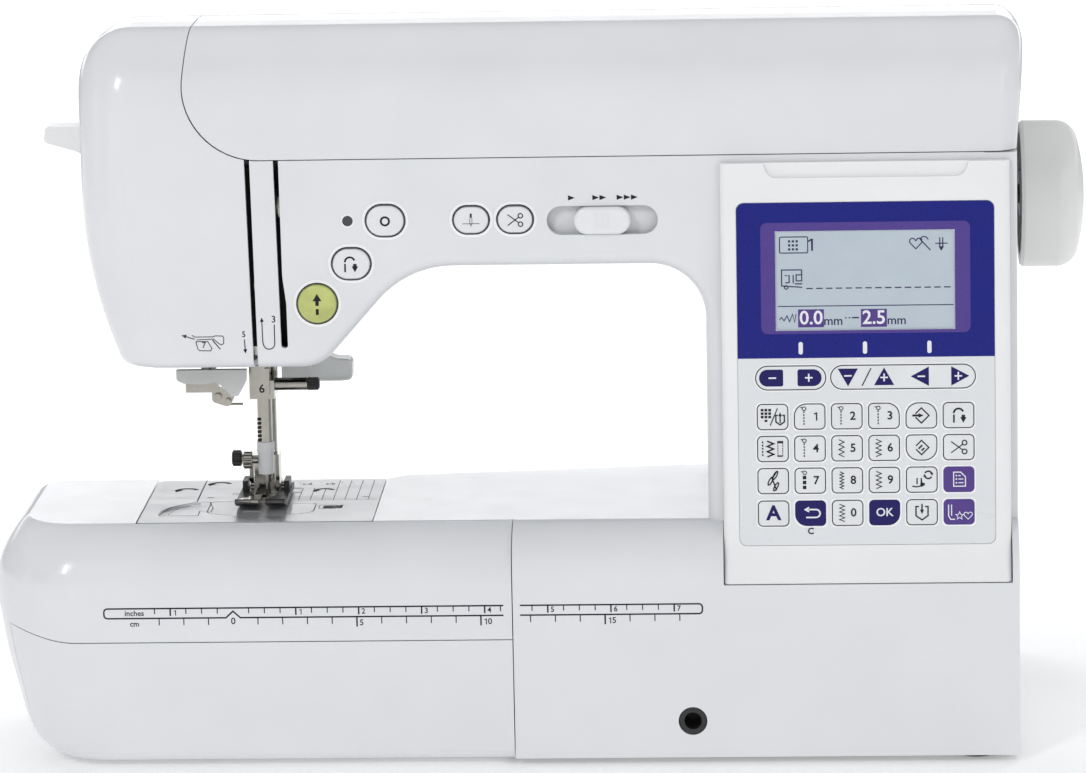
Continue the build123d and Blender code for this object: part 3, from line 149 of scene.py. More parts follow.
def plastics():
    return {
        "body_white": surface("body_white", WHITE_BODY, 0.17, rough_vary=0.02, relief_mm=0.0015,
                              grain_mm=0.7),
        "column_white": surface("column_white", WHITE_COLUMN, 0.24, rough_vary=0.02, relief_mm=0.0015),
        "film_print": surface("film_print", FILM, 0.30, grain_mm=0.15, relief_mm=0.002),
        "screen_glass": surface("screen_glass", LCD, 0.12, vary=0.03, patch_mm=25, rough_vary=0.02),
        "button_white": surface("button_white", (0.77, 0.78, 0.79), 0.26),
        "start_green": surface("start_green", LIME, 0.22, vary=0.12, patch_mm=9, glow=0.10),
        "slider_white": surface("slider_white", (0.80, 0.81, 0.83), 0.16),
        "wheel_grey": surface("wheel_grey", (0.76, 0.77, 0.75), 0.34, grain_mm=0.5, relief_mm=0.006),
        "lever_grey": surface("lever_grey", (0.74, 0.755, 0.745), 0.22, vary=0.05, clear=0.30),
        "guard_white": surface("guard_white", (0.66, 0.67, 0.66), 0.25, vary=0.03, clear=0.15),
        "clamp_white": surface("clamp_white", (0.72, 0.73, 0.74), 0.22, vary=0.03, clear=0.2),
        "black_plastic": surface("black_plastic", (0.018, 0.018, 0.02), 0.38, vary=0.10, relief_mm=0.006),
        "clear_plastic": surface("clear_plastic", (0.72, 0.76, 0.78), 0.10, clear=0.75),
        "cover_grey": surface("cover_grey", (0.52, 0.535, 0.55), 0.16, vary=0.03, clear=0.35),
        "base_grey": surface("base_grey", (0.46, 0.465, 0.47), 0.48, grain_mm=0.6, relief_mm=0.02),
        "rubber": surface("rubber", (0.03, 0.03, 0.03), 0.75, vary=0.15, patch_mm=5, relief_mm=0.03),
        "belt_rubber": surface("belt_rubber", (0.02, 0.02, 0.02), 0.8, vary=0.15, patch_mm=5, relief_mm=0.03),
        "board_green": surface("board_green", (0.02, 0.13, 0.06), 0.4, vary=0.15, patch_mm=6),
    }


def metals():
    along = (1, 1, 25)
    return {
        "plate_steel": surface("plate_steel", STEEL, 0.36, 1.0, 0.03, 14, 0.05, 0.12, 0.003, (30, 1, 1)),
        "nickel": surface("nickel", NICKEL, 0.16, 1.0, 0.05, 5, 0.07, 0.10, 0.002, along),
        "dark_steel": surface("dark_steel", DARK_STEEL, 0.38, 1.0, 0.12, 6, 0.08, 0.15, 0.004),
        "cast_alloy": surface("cast_alloy", (0.42, 0.425, 0.43), 0.55, 1.0, 0.08, 8, 0.08, 0.8, 0.05),
        "bronze": surface("bronze", (0.44, 0.27, 0.10), 0.42, 1.0, 0.10, 5, 0.06, 0.4, 0.01),
        "screw_steel": surface("screw_steel", (0.50, 0.50, 0.49), 0.28, 1.0, 0.06, 3, 0.06, 0.1, 0.002),
    }


def inks():
    return {
        "ink_dark": ink("ink_dark", INK),
        "ink_grey": ink("ink_grey", GREY_INK),
        "ink_plate": ink("ink_plate", (0.02, 0.02, 0.023), 0.5),
        "ink_line": ink("ink_line", (0.13, 0.135, 0.145), 0.45),
        "ink_white": ink("ink_white", PRINT_WHITE),
        "ink_navy": ink("ink_navy", NAVY, 0.28),
        "ink_key": ink("ink_key", NAVY_KEY, 0.3),
        "ink_purple": ink("ink_purple", PURPLE, 0.28),
        "ink_purple_key": ink("ink_purple_key", PURPLE_KEY, 0.3),
        "ink_lcd": ink("ink_lcd", LCD_INK, 0.3),
        "key_white": ink("key_white", (0.77, 0.785, 0.80), 0.3),
        "key_halo": ink("key_halo", (0.90, 0.905, 0.91), 0.3),
        "lamp_dark": ink("lamp_dark", (0.07, 0.07, 0.075), 0.2),
        "screen_panel": ink("screen_panel", LCD, 0.2),
    }


def dress(materials):
    """Every CAD node gets the material its record names."""
    for entry in frame["record"]["subparts"]:
        node = frame["nodes"][entry["node"]]
        node.data.materials.clear()
        node.data.materials.append(materials[entry["material_slot"]])


def paint(node_name, material, test):
    """Gives the faces of a CAD node whose centre passes the test, in mm, another material."""
    mesh = frame["nodes"][node_name].data
    mesh.materials.append(material)
    turn = frame["nodes"][node_name].matrix_world
    for face in mesh.polygons:
        if test((turn @ face.center) / MM):
            face.material_index = len(mesh.materials) - 1


def paint_details(materials):
    """Knob ends, the foot's dark sides and the pale guards, which share a node with other metal."""
    foot_knob_end, guide_knob_start = -125.3, -95.8
    shoe_left, shoe_right = -119.8, -110.8
    guard_back, clamp_left = -51.7, -117.4
    paint("foot_holder", materials["black_plastic"], lambda c: c.x < foot_knob_end)
    paint("thread_guide_bracket", materials["black_plastic"], lambda c: c.x > guide_knob_start)
    paint("presser_foot", materials["dark_steel"], lambda c: c.x < shoe_left or c.x > shoe_right)
    paint("machine_frame", materials["lever_grey"], lambda c: c.z < 165 and -112 < c.x < -96 and c.y > 1)
    paint("threader_head", materials["guard_white"], lambda c: c.y < guard_back)
    paint("needle_clamp", materials["clamp_white"], lambda c: c.x > clamp_left)


# ---------------------------------------------------------------- flat outlines, in mm
def bar(u0, v0, u1, v1):
    return [[(u0, v0), (u1, v0), (u1, v1), (u0, v1)]]


def arc(u, v, radius, start, end, steps=12):
    angles = [radians(start + (end - start) * i / steps) for i in range(steps + 1)]
    return [(u + radius * cos(a), v + radius * sin(a)) for a in angles]


def pad_edge(u, v, width, height, radii):
    """Edge of a rounded rectangle centred on (u, v); radii go round from the lower left."""
    left, right, low, high = u - width / 2, u + width / 2, v - height / 2, v + height / 2
    ll, lr, ur, ul = radii
    return (arc(left + ll, low + ll, ll, 180, 270, 8) + arc(right - lr, low + lr, lr, 270, 360, 8)
            + arc(right - ur, high - ur, ur, 0, 90, 8) + arc(left + ul, high - ul, ul, 90, 180, 8))


def pad(u, v, width, height, radius):
    return [pad_edge(u, v, width, height, [radius] * 4)]


def circle(u, v, radius):
    return arc(u, v, radius, 0, 345, 23)


def disc(u, v, radius):
    return [circle(u, v, radius)]


def unit(a, b):
    length = hypot(b[0] - a[0], b[1] - a[1]) or 1.0
    return (b[0] - a[0]) / length, (b[1] - a[1]) / length


def line(points, width, closed=False):
    """A drawn line of even width as quads, mitred at its corners."""
    count = len(points)
    sides = []
    for i, (u, v) in enumerate(points):
        before = points[i - 1] if i or closed else None
        after = points[(i + 1) % count] if i < count - 1 or closed else None
        into = unit(before, (u, v)) if before else unit((u, v), after)
        out = unit((u, v), after) if after else into
        across = (-into[1] - out[1], into[0] + out[0])
        size = hypot(*across) or 1.0
        across = (across[0] / size, across[1] / size)
        facing = max(0.4, across[0] * -out[1] + across[1] * out[0])
        reach = width / 2 / facing
        sides.append(((u - across[0] * reach, v - across[1] * reach),
                      (u + across[0] * reach, v + across[1] * reach)))
    last = count if closed else count - 1
    return [[sides[i][0], sides[(i + 1) % count][0], sides[(i + 1) % count][1], sides[i][1]]
            for i in range(last)]


def loop(u, v, width, height, radius, stroke):
    return line(pad_edge(u, v, width, height, [radius] * 4), stroke, closed=True)


def ring(u, v, radius, stroke):
    return line(circle(u, v, radius), stroke, closed=True)


def dashes(start, end, count, width, share=0.6):
    """A broken line of equal dashes from start to end."""
    step = ((end[0] - start[0]) / count, (end[1] - start[1]) / count)
    drawn = []
    for i in range(count):
        a = (start[0] + step[0] * i, start[1] + step[1] * i)
        drawn += line([a, (a[0] + step[0] * share, a[1] + step[1] * share)], width)
    return drawn


def zigzag(u, v, reach, height, turns, width):
    points = [(u + (reach if i % 2 else -reach) / 2, v + height / 2 - height * i / turns)
              for i in range(turns + 1)]
    return line(points, width)


def arrow(points, width, head):
    """A line whose last point carries a triangular head of that length."""
    du, dv = unit(points[-2], points[-1])
    tip = points[-1]
    neck = (tip[0] - du * head, tip[1] - dv * head)
    side = head * 0.45
    triangle = [tip, (neck[0] - dv * side, neck[1] + du * side),
                (neck[0] + dv * side, neck[1] - du * side)]
    return line(points[:-1] + [neck], width) + [triangle]


def label(text, u, v, height, thick=0.05):
    """Plain lettering centred on (u, v), from Blender's own font, with a figure 1 of its own."""
    if text == "1":
        stem, top = u + height * 0.10, v + height / 2
        flag = line([(stem - height * 0.30, top - height * 0.22), (stem, top - height * 0.03)], height * 0.13)
        return flag + bar(stem - height * 0.07, v - height / 2, stem + height * 0.09, top)
    if text.startswith("1"):
        first = label("1", u - height * 0.36, v, height, thick)
        return first + label(text[1:], u + height * 0.36, v, height, thick)
    curve = bpy.data.curves.new("label", "FONT")
    curve.body = text
    curve.align_x = "CENTER"
    curve.align_y = "CENTER"
    curve.resolution_u = 3
    curve.size = height / 0.7
    curve.offset = thick
    holder = bpy.data.objects.new("label", curve)
    bpy.context.scene.collection.objects.link(holder)
    mesh = holder.to_mesh()
    faces = [[(u + mesh.vertices[i].co.x, v + mesh.vertices[i].co.y) for i in face.vertices]
             for face in mesh.polygons]
    holder.to_mesh_clear()
    bpy.data.objects.remove(holder)
    bpy.data.curves.remove(curve)
    return faces


def shifted(faces, du, dv):
    return [[(u + du, v + dv) for u, v in face] for face in faces]


# ---------------------------------------------------------------- faces that carry print
def on_front(depth):
    """Places print on an upright face at y = depth."""
    return lambda u, v, lift: (u, depth - lift, v)


def on_top(height):
    return lambda u, v, lift: (u, v, height + lift)


def on_panel(u, v, lift):
    """Places print on the leaning panel; v is measured up the panel from the table's level."""
    rise = v - PANEL_FOOT[1]
    tilt = atan2(PANEL_TOP[0] - PANEL_FOOT[0], PANEL_TOP[1] - PANEL_FOOT[1])
    return (u, PANEL_FOOT[0] + rise * sin(tilt) - lift * cos(tilt),
            PANEL_FOOT[1] + rise * cos(tilt) + lift * sin(tilt))


def stamp(name, place, faces, material, body="root", layer=1, facing=(0, -1, 0)):
    """One piece of flat print made of all the given outlines."""
    points, polygons = [], []
    for face in faces:
        corners = [Vector(place(u, v, layer * PRINT)) * MM for u, v in face]
        following = corners[1:] + corners[:1]
        area = sum((here.cross(there) for here, there in zip(corners, following)), Vector())
        if area.length < 1e-12:
            continue
        if area.dot(Vector(facing)) < 0:
            corners.reverse()
        polygons.append(list(range(len(points), len(points) + len(corners))))
        points += corners
    mesh = bpy.data.meshes.new(name)
    mesh.from_pydata(points, [], polygons)
    mesh.materials.append(material)
    piece = bpy.data.objects.new(name, mesh)
    bpy.context.scene.collection.objects.link(piece)
    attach(piece, body)


# ---------------------------------------------------------------- icons, centred on (0, 0), in mm
def icon_turn_back(s=1.0):
    """A path that goes up, round and back down: reverse stitching."""
    bow = arc(0, 0.8 * s, 2.0 * s, 180, 20, 10)
    shaft = bar(-2.3 * s, -3.2 * s, -1.6 * s, 0.2 * s)
    head = [[(1.3 * s, 0.1 * s), (1.3 * s, -0.9 * s), (0.7 * s, -0.9 * s), (2.0 * s, -3.3 * s),
             (3.3 * s, -0.9 * s), (2.7 * s, -0.9 * s), (2.7 * s, 0.1 * s)]]
    return line(bow, 0.75 * s) + shaft + head


def icon_scissors(s=1.0):
    rings = ring(2.2 * s, 1.7 * s, 0.9 * s, 0.45 * s) + ring(2.2 * s, -1.7 * s, 0.9 * s, 0.45 * s)
    blades = line([(-2.9 * s, 2.2 * s), (1.5 * s, -1.1 * s)], 0.42 * s)
    blades += line([(-2.9 * s, -2.2 * s), (1.5 * s, 1.1 * s)], 0.42 * s)
    return rings + blades


def icon_needle(s=1.0):
    shank = bar(-0.38 * s, 1.0 * s, 0.38 * s, 2.7 * s)
    blade = line([(-0.42 * s, 1.0 * s), (-0.42 * s, -1.2 * s), (0, -2.4 * s), (0.42 * s, -1.2 * s),
                  (0.42 * s, 1.0 * s)], 0.22 * s)
    cloth = line([(-3.4 * s, -1.4 * s), (3.4 * s, -1.4 * s)], 0.24 * s)
    return shank + blade + cloth


def icon_diamond(s=1.0):
    return line([(-2.2 * s, -0.7 * s), (0, -2.9 * s), (2.9 * s, 0), (0, 2.9 * s),
                 (-2.2 * s, 0.7 * s)], 0.5 * s)


def icon_pocket(s=1.0):
    return line([(-1.0 * s, 1.9 * s), (-2.0 * s, 1.9 * s), (-2.0 * s, -1.2 * s), (0, -2.6 * s),
                 (2.0 * s, -1.2 * s), (2.0 * s, 1.9 * s), (1.0 * s, 1.9 * s)], 0.55)


def icon_heart(s=1.0):
    half = [(0, -1.7), (1.9, 0.3), (1.9, 1.2), (1.3, 1.7), (0.6, 1.6), (0, 0.9)]
    points = [(u * s, v * s) for u, v in half] + [(-u * s, v * s) for u, v in reversed(half[1:-1])]
    return line(points, 0.35 * s, closed=True)


def icon_star(s=1.0):
    points = []
    for i in range(10):
        radius = (1.9 if i % 2 == 0 else 0.85) * s
        points.append((radius * cos(pi / 2 + i * pi / 5), radius * sin(pi / 2 + i * pi / 5)))
    return line(points, 0.32 * s, closed=True)


def icon_leaf():
    sprig = []
    for u, v in ((0.8, 2.3), (-1.1, 0.0), (1.1, -2.3)):
        blade = [(u + 0.8 * cos(a) + 0.6 * sin(a), v + 1.6 * sin(a) + 0.35 * cos(a))
                 for a in [2 * pi * i / 16 for i in range(16)]]
        sprig += line(blade, 0.5, closed=True)
    return sprig + line([(1.3, 3.8), (-0.4, 1.0), (0.3, -1.0), (1.3, -3.8)], 0.55)


def icon_foot():
    sole = line([(-3.8, -2.6), (-2.4, -2.9), (0.6, -2.5)], 0.5)
    ankle = [[(-0.4, 0.7), (0.0, 0.7), (0.2, -1.1), (1.3, -1.6), (1.1, -2.4), (-0.6, -2.4)]]
    stem = line([(-1.9, 0.7), (-1.9, -1.9)], 0.5)
    turn = line(arc(2.6, 1.9, 1.5, 20, 150, 8), 0.6) + line(arc(2.6, 1.9, 1.5, 200, 330, 8), 0.6)
    tips = [[(3.3, 2.6), (4.6, 2.7), (4.2, 1.5)], [(1.9, 1.2), (0.6, 1.1), (1.0, 2.3)]]
    return sole + ankle + stem + turn + tips


def icon_list():
    sheet = line([(-2.1, -2.8), (2.6, -2.8), (2.6, 1.0), (0.7, 2.9), (-2.1, 2.9)], 0.42, closed=True)
    rows = []
    for v in (-1.4, 0.1, 1.5):
        rows += bar(-1.3, v - 0.3, -0.7, v + 0.3) + bar(-0.2, v - 0.2, (1.8 if v < 1 else 0.7), v + 0.2)
    return sheet + rows


# ---------------------------------------------------------------- the keys of the control panel
KEY_COLUMNS = (95.0, 109.8, 124.6, 139.4, 154.3, 169.1)
KEY_ROWS = (141.6, 128.65, 115.65, 102.45)
KEY_WIDTH, KEY_HEIGHT = 12.2, 10.2
KEY_CORNER = 1.9
KEY_LINE = 0.42
KEY_HALO = 1.5
ARROW_ROW = 157.3


def key_shapes():
    """Corner radii of the keys that aren't plain, by (column, row)."""
    return {
        (1, 0): [KEY_CORNER, KEY_CORNER, KEY_CORNER, 4.8],
        (3, 0): [KEY_CORNER, KEY_CORNER, 4.8, KEY_CORNER],
        (1, 3): [4.8, KEY_CORNER, KEY_CORNER, KEY_CORNER],
        (3, 3): [KEY_CORNER, 4.8, KEY_CORNER, KEY_CORNER],
        (4, 0): [KEY_CORNER, KEY_CORNER, 5.0, 5.0],
        (4, 1): [5.0, 5.0, KEY_CORNER, KEY_CORNER],
    }


def key_edge(column, row, grow=0.0):
    radii = key_shapes().get((column, row), [KEY_CORNER] * 4)
    return pad_edge(KEY_COLUMNS[column], KEY_ROWS[row], KEY_WIDTH + grow, KEY_HEIGHT + grow, radii)


def stitch_mark(column, row):
    """The small stitch drawing at the left of a numbered key."""
    number = (column, row)
    hook = ring(0.0, 3.2, 0.72, 0.32) + bar(-1.5, 3.5, -0.6, 3.85)
    if number in ((1, 0), (2, 0), (3, 0), (1, 1)):
        return hook + dashes((-0.1, 2.2), (-0.1, -3.8), 5, 0.5, 0.6)
    if number == (1, 2):
        return hook + bar(-0.8, 0.6, 0.6, 2.0) + bar(-0.8, -1.4, 0.6, 0.0) + bar(-0.8, -3.4, 0.6, -2.0)
    turns = {(2, 1): 7, (3, 1): 8, (2, 2): 11, (3, 2): 8, (2, 3): 9}[number]
    return zigzag(0, 0, 2.1 if turns < 11 else 1.5, 7.0, turns, 0.36)


def key_legends():
    """Dark legends, as (column, row): outlines centred on the key."""
    dots = []
    for i in range(9):
        u, v = -4.7 + 1.5 * (i % 3), 2.3 - 1.4 * (i // 3)
        dots += bar(u, v, u + 1.1, v + 1.0)
    dots += bar(-3.2, -2.0, -2.1, -1.1)
    pocket = shifted(icon_pocket(0.85), 3.0, -1.0)
    up_arrow = arrow([(3.0, -2.5), (3.0, 1.9)], 0.5, 1.6)
    into = arrow([(-3.6, 0), (0.9, 0)], 0.8, 2.0)
    plain = dashes((-4.1, 3.1), (-4.1, -3.3), 5, 0.55, 0.6)
    panel = bar(1.8, 2.3, 4.1, 3.2) + bar(1.8, -3.2, 3.9, -2.6)
    for u in (2.0, 3.9):
        panel += dashes((u, 3.1), (u, -3.1), 9, 0.45, 0.5)
    lines = line([(-1.2, -0.5), (0.3, 1.0)], 0.65) + line([(0, -1.3), (1.1, -0.2)], 0.65)
    pocket_in = icon_pocket(1.2) + arrow([(0, 3.4), (0, -0.8)], 0.6, 1.8)
    return {
        (0, 0): dots + line([(-1.0, -3.5), (2.0, 3.5)], 0.42) + pocket + up_arrow,
        (4, 0): icon_diamond(1.05) + into,
        (5, 0): icon_turn_back(0.95),
        (0, 1): plain + zigzag(-1.0, 0, 2.5, 6.4, 6, 0.62) + panel,
        (4, 1): icon_diamond(1.0) + lines,
        (5, 1): icon_scissors(1.05),
        (0, 2): icon_leaf(),
        (4, 2): icon_foot(),
        (4, 3): pocket_in,
    }


def control_keys(printing):
    filled_navy, filled_purple = [(1, 3), (3, 3)], [(5, 2), (5, 3)]
    edges, faces, halos, dark, light, navy, purple = [], [], [], [], [], [], []
    digits = {(1, 0): "1", (2, 0): "2", (3, 0): "3", (1, 1): "4", (2, 1): "5", (3, 1): "6",
              (1, 2): "7", (2, 2): "8", (3, 2): "9", (2, 3): "0"}
    for row, v in enumerate(KEY_ROWS):
        for column, u in enumerate(KEY_COLUMNS):
            at = (column, row)
            halos.append(key_edge(*at, grow=KEY_HALO))
            if at in filled_navy:
                navy.append(key_edge(*at, grow=0.2))
            elif at in filled_purple:
                purple.append(key_edge(*at, grow=0.2))
            else:
                faces.append(key_edge(*at))
                edges += line(key_edge(*at), KEY_LINE, closed=True)
            if at in digits:
                dark += label(digits[at], u + 2.4, v, 3.3, 0.09)
                dark += shifted(stitch_mark(*at), u - 2.2, v)
    for (column, row), drawing in key_legends().items():
        dark += shifted(drawing, KEY_COLUMNS[column], KEY_ROWS[row])
    dark += label("C", KEY_COLUMNS[1], 95.1, 2.5, 0.08)
    navy_letter = label("A", KEY_COLUMNS[0], KEY_ROWS[3], 5.7, 0.26)
    back = line([(-2.4, -1.7), (1.6, -1.7)] + arc(1.6, -0.1, 1.6, -90, 90, 8) + [(-1.6, 1.5)], 0.62)
    back += [[(-3.3, 1.5), (-1.2, 2.7), (-1.2, 0.3)]]
    light += shifted(back, KEY_COLUMNS[1] + 0.6, KEY_ROWS[3])
    light += label("OK", KEY_COLUMNS[3], KEY_ROWS[3], 3.3, 0.06)
    light += shifted(icon_list(), KEY_COLUMNS[5], KEY_ROWS[2])
    needle = line([(-4.2, 3.0), (-4.2, -1.6), (-3.4, -3.0), (-1.6, -3.0)], 0.42)
    needle += line([(-3.0, 3.0), (-3.0, -1.5)], 0.42)
    light += shifted(needle, KEY_COLUMNS[5], KEY_ROWS[3])
    light += shifted(icon_star(0.85), KEY_COLUMNS[5] + 0.2, KEY_ROWS[3] - 1.6)
    light += shifted(icon_heart(0.85), KEY_COLUMNS[5] + 3.6, KEY_ROWS[3] - 1.6)
    arrow_halos, arrow_faces, arrow_edges, arrow_dark, arrow_navy, arrow_light = arrow_keys()
    stamp("key_halos", on_panel, halos + arrow_halos, printing["key_halo"], layer=1)
    stamp("key_faces", on_panel, faces + arrow_faces, printing["key_white"], layer=2)
    stamp("key_edges", on_panel, edges + arrow_edges, printing["ink_grey"], layer=3)
    stamp("key_fills_navy", on_panel, navy + arrow_navy, printing["ink_key"], layer=3)
    stamp("key_fills_purple", on_panel, purple, printing["ink_purple_key"], layer=3)
    stamp("key_legends_dark", on_panel, dark + arrow_dark, printing["ink_dark"], layer=4)
    stamp("key_letter", on_panel, navy_letter, printing["ink_key"], layer=4)
    stamp("key_legends_white", on_panel, light + arrow_light, printing["ink_white"], layer=4)


def arrow_keys():
    """The two long rounded frames above the keys, with their six coloured arrows."""
    v = ARROW_ROW
    first, second = (102.4, 28.0), (147.1, 57.6)
    halos, faces, edges = [], [], []
    for u, width in (first, second):
        halos += pad(u, v, width + KEY_HALO, 9.6 + KEY_HALO, 5.5)
        faces += pad(u, v, width, 9.6, 4.79)
        edges += loop(u, v, width, 9.6, 4.79, KEY_LINE)
    navy = [pad_edge(94.6, v, 9.6, 6.8, [3.3, 0.8, 0.8, 3.3]),
            pad_edge(109.9, v, 9.6, 6.8, [0.8, 3.3, 3.3, 0.8])]
    navy += [[(121.2, v + 3.5), (129.2, v + 3.5), (125.2, v - 3.7)],
             [(135.6, v - 3.3), (143.6, v - 3.3), (139.6, v + 3.8)],
             [(150.2, v + 0.1), (157.4, v + 4.0), (157.4, v - 3.8)],
             [(173.5, v + 0.1), (166.3, v + 4.0), (166.3, v - 3.8)]]
    minus = bar(-1.5, -0.3, 1.5, 0.3)
    plus = minus + bar(-0.3, -1.6, 0.3, -0.3) + bar(-0.3, 0.3, 0.3, 1.6)
    light = shifted(minus, 95.1, v) + shifted(plus, 109.6, v)
    light += shifted(minus, 125.2, v + 0.6) + shifted(plus, 139.6, v - 0.2)
    light += shifted(minus, 154.4, v + 0.1) + shifted(plus, 169.1, v + 0.1)
    slash = line([(130.8, v - 3.5), (134.4, v + 3.6)], 0.45)
    return halos, faces, edges, slash, navy, light


# ---------------------------------------------------------------- the screen
def screen_print(printing):
    """Navy field, purple surround and the marks under the screen."""
    film_left, film_right, film_top, field_foot = 81.4, 183.6, 227.6, 165.2
    glass = (132.35, 196.25, 71.3, 39.9)
    corner = 3
    navy_edge = [(film_left, field_foot), (film_right, field_foot)]
    navy_edge += arc(film_right - corner, film_top - corner, corner, 0, 90, 6)
    navy_edge += arc(film_left + corner, film_top - corner, corner, 90, 180, 6)
    surround = pad_edge(132.5, 197.3, 83.2, 44.6, [2.6] * 4)
    stamp("screen_field", on_panel, framed(navy_edge, glass), printing["ink_navy"], layer=1)
    stamp("screen_surround", on_panel, framed(surround, glass), printing["ink_purple"], layer=2)
    marks = []
    for u in (106.5, 132.1, 157.7):
        marks += pad(u, 169.2, 1.7, 5.0, 0.8)
    stamp("screen_marks", on_panel, marks, printing["ink_white"], layer=2)


def framed(edge, hole):
    """The area inside edge and outside the rectangle (u, v, width, height), cut into strips."""
    u, v, width, height = hole
    left, right, low, high = u - width / 2, u + width / 2, v - height / 2, v + height / 2
    middle = clipped(clipped(edge, 0, left, True), 0, right, False)
    return [clipped(edge, 0, left, False), clipped(edge, 0, right, True),
            clipped(middle, 1, low, False), clipped(middle, 1, high, True)]


def clipped(points, axis, limit, keep_above):
    """The part of a convex outline on one side of an axis-parallel line."""
    sign = 1 if keep_above else -1
    kept = []
    for i, here in enumerate(points):
        there = points[(i + 1) % len(points)]
        a, b = (here[axis] - limit) * sign, (there[axis] - limit) * sign
        if a >= 0:
            kept.append(here)
        if (a >= 0) != (b >= 0):
            share = a / (a - b)
            kept.append((here[0] + (there[0] - here[0]) * share,
                         here[1] + (there[1] - here[1]) * share))
    return kept


def on_glass(u, v, lift):
    return on_panel(u, v, lift + GLASS_DEPTH)


def screen_picture(printing):
    """What the screen shows: stitch number, needle mode, foot, stitch line, width and length."""
    dark = loop(104.1, 210.6, 11.2, 6.4, 0.5, 0.42)
    for i in range(9):
        u, v = 101.9 + 1.5 * (i % 3), 208.4 + 1.6 * (i // 3)
        dark += bar(u, v, u + 0.9, v + 0.9)
    dark += label("1", 110.9, 210.6, 4.8)
    dark += shifted(icon_heart(1.25), 152.6, 210.6)
    dark += line([(158.4, 207.9), (154.4, 212.2), (155.2, 213.3), (156.6, 213.3), (157.6, 212.2)], 0.46)
    dark += line([(160.3, 210.6), (165.2, 210.6)], 0.42) + line([(162.1, 213.0), (162.1, 209.2)], 0.46)
    dark += line([(163.3, 213.0), (163.3, 209.2)], 0.46) + [[(161.6, 209.4), (163.8, 209.4), (162.7, 207.6)]]
    dark += line([(107.2, 200.6), (99.2, 200.6), (99.2, 194.2), (107.4, 193.6)], 0.46)
    dark += ring(101.0, 193.6, 0.7, 0.42)
    dark += line([(100.4, 198.4), (102.6, 198.4), (102.2, 198.4), (102.2, 195.6), (100.6, 195.4)], 0.46)
    dark += line([(103.8, 198.6), (103.8, 195.2)], 0.46)
    dark += line([(107.2, 198.6), (105.0, 198.6), (105.0, 196.2), (107.2, 196.2), (107.2, 200.6)], 0.46)
    dark += line([(104.4, 195.0), (107.4, 195.0)], 0.46)
    dark += dashes((109.0, 193.1), (167.6, 193.1), 15, 0.46, 0.66)
    dark += line([(97.6, 186.0), (167.4, 186.0)], 0.38)
    dark += line([(98.2, 180.6), (99.0, 181.6), (100.0, 180.2), (101.2, 182.2), (102.2, 179.8),
                  (103.4, 182.8), (104.2, 179.6), (104.8, 182.9)], 0.38)
    boxes = bar(105.6, 177.5, 115.9, 184.7) + bar(130.6, 177.4, 140.9, 184.6)
    dark += label("mm", 119.6, 179.9, 3.5, 0.06) + label("mm", 144.8, 179.9, 3.5, 0.06)
    dark += bar(124.3, 180.9, 124.9, 181.4) + bar(125.7, 180.9, 126.4, 181.4)
    dark += bar(127.0, 180.9, 129.8, 181.45)
    light = label("0.0", 110.8, 181.1, 5.4, 0.12) + label("2.5", 135.8, 181.0, 5.4, 0.12)
    panel = bar(97.0, 176.5, 167.8, 216.0)
    stamp("screen_light", on_glass, panel, printing["screen_panel"], layer=1)
    stamp("screen_drawing", on_glass, dark, printing["ink_lcd"], layer=2)
    stamp("screen_boxes", on_glass, boxes, printing["ink_purple_key"], layer=2)
    stamp("screen_figures", on_glass, light, printing["ink_white"], layer=3)


# ---------------------------------------------------------------- prints on the arm, the buttons and the bed
def button_legends(printing):
    """Each legend moves with its button."""
    caps = on_front(CAP_FRONT)
    ring_mark = ring(-58.8, 221.3, 1.65, 0.8)
    turn_mark = shifted(icon_turn_back(), -73.3, 204.1)
    needle_mark = shifted(icon_needle(), -24.4, 221.3)
    cutter_mark = shifted(icon_scissors(), -6.8, 221.2)
    stamp("mark_reinforcement", caps, ring_mark, printing["ink_dark"], "reinforcement")
    stamp("mark_reverse", caps, turn_mark, printing["ink_dark"], "reverse")
    stamp("mark_needle", caps, needle_mark, printing["ink_dark"], "needle_position")
    stamp("mark_cutter", caps, cutter_mark, printing["ink_dark"], "thread_cutter")
    go = [[(-86.9, 192.2), (-88.7, 189.2), (-87.6, 189.2), (-87.6, 187.3), (-86.2, 187.3), (-86.2, 189.2),
           (-85.1, 189.2)]] + bar(-87.5, 183.6, -86.3, 186.0)
    stamp("mark_start", caps, go, printing["ink_dark"], "start_stop")


# centre, width and height of the five push buttons
PUSH_BUTTONS = ((-86.9, 188.0, 15.4, 15.4), (-72.8, 204.1, 14.8, 12.0), (-58.8, 221.4, 14.8, 12.0),
                (-24.4, 221.3, 13.6, 10.4), (-6.8, 221.3, 13.6, 10.4))


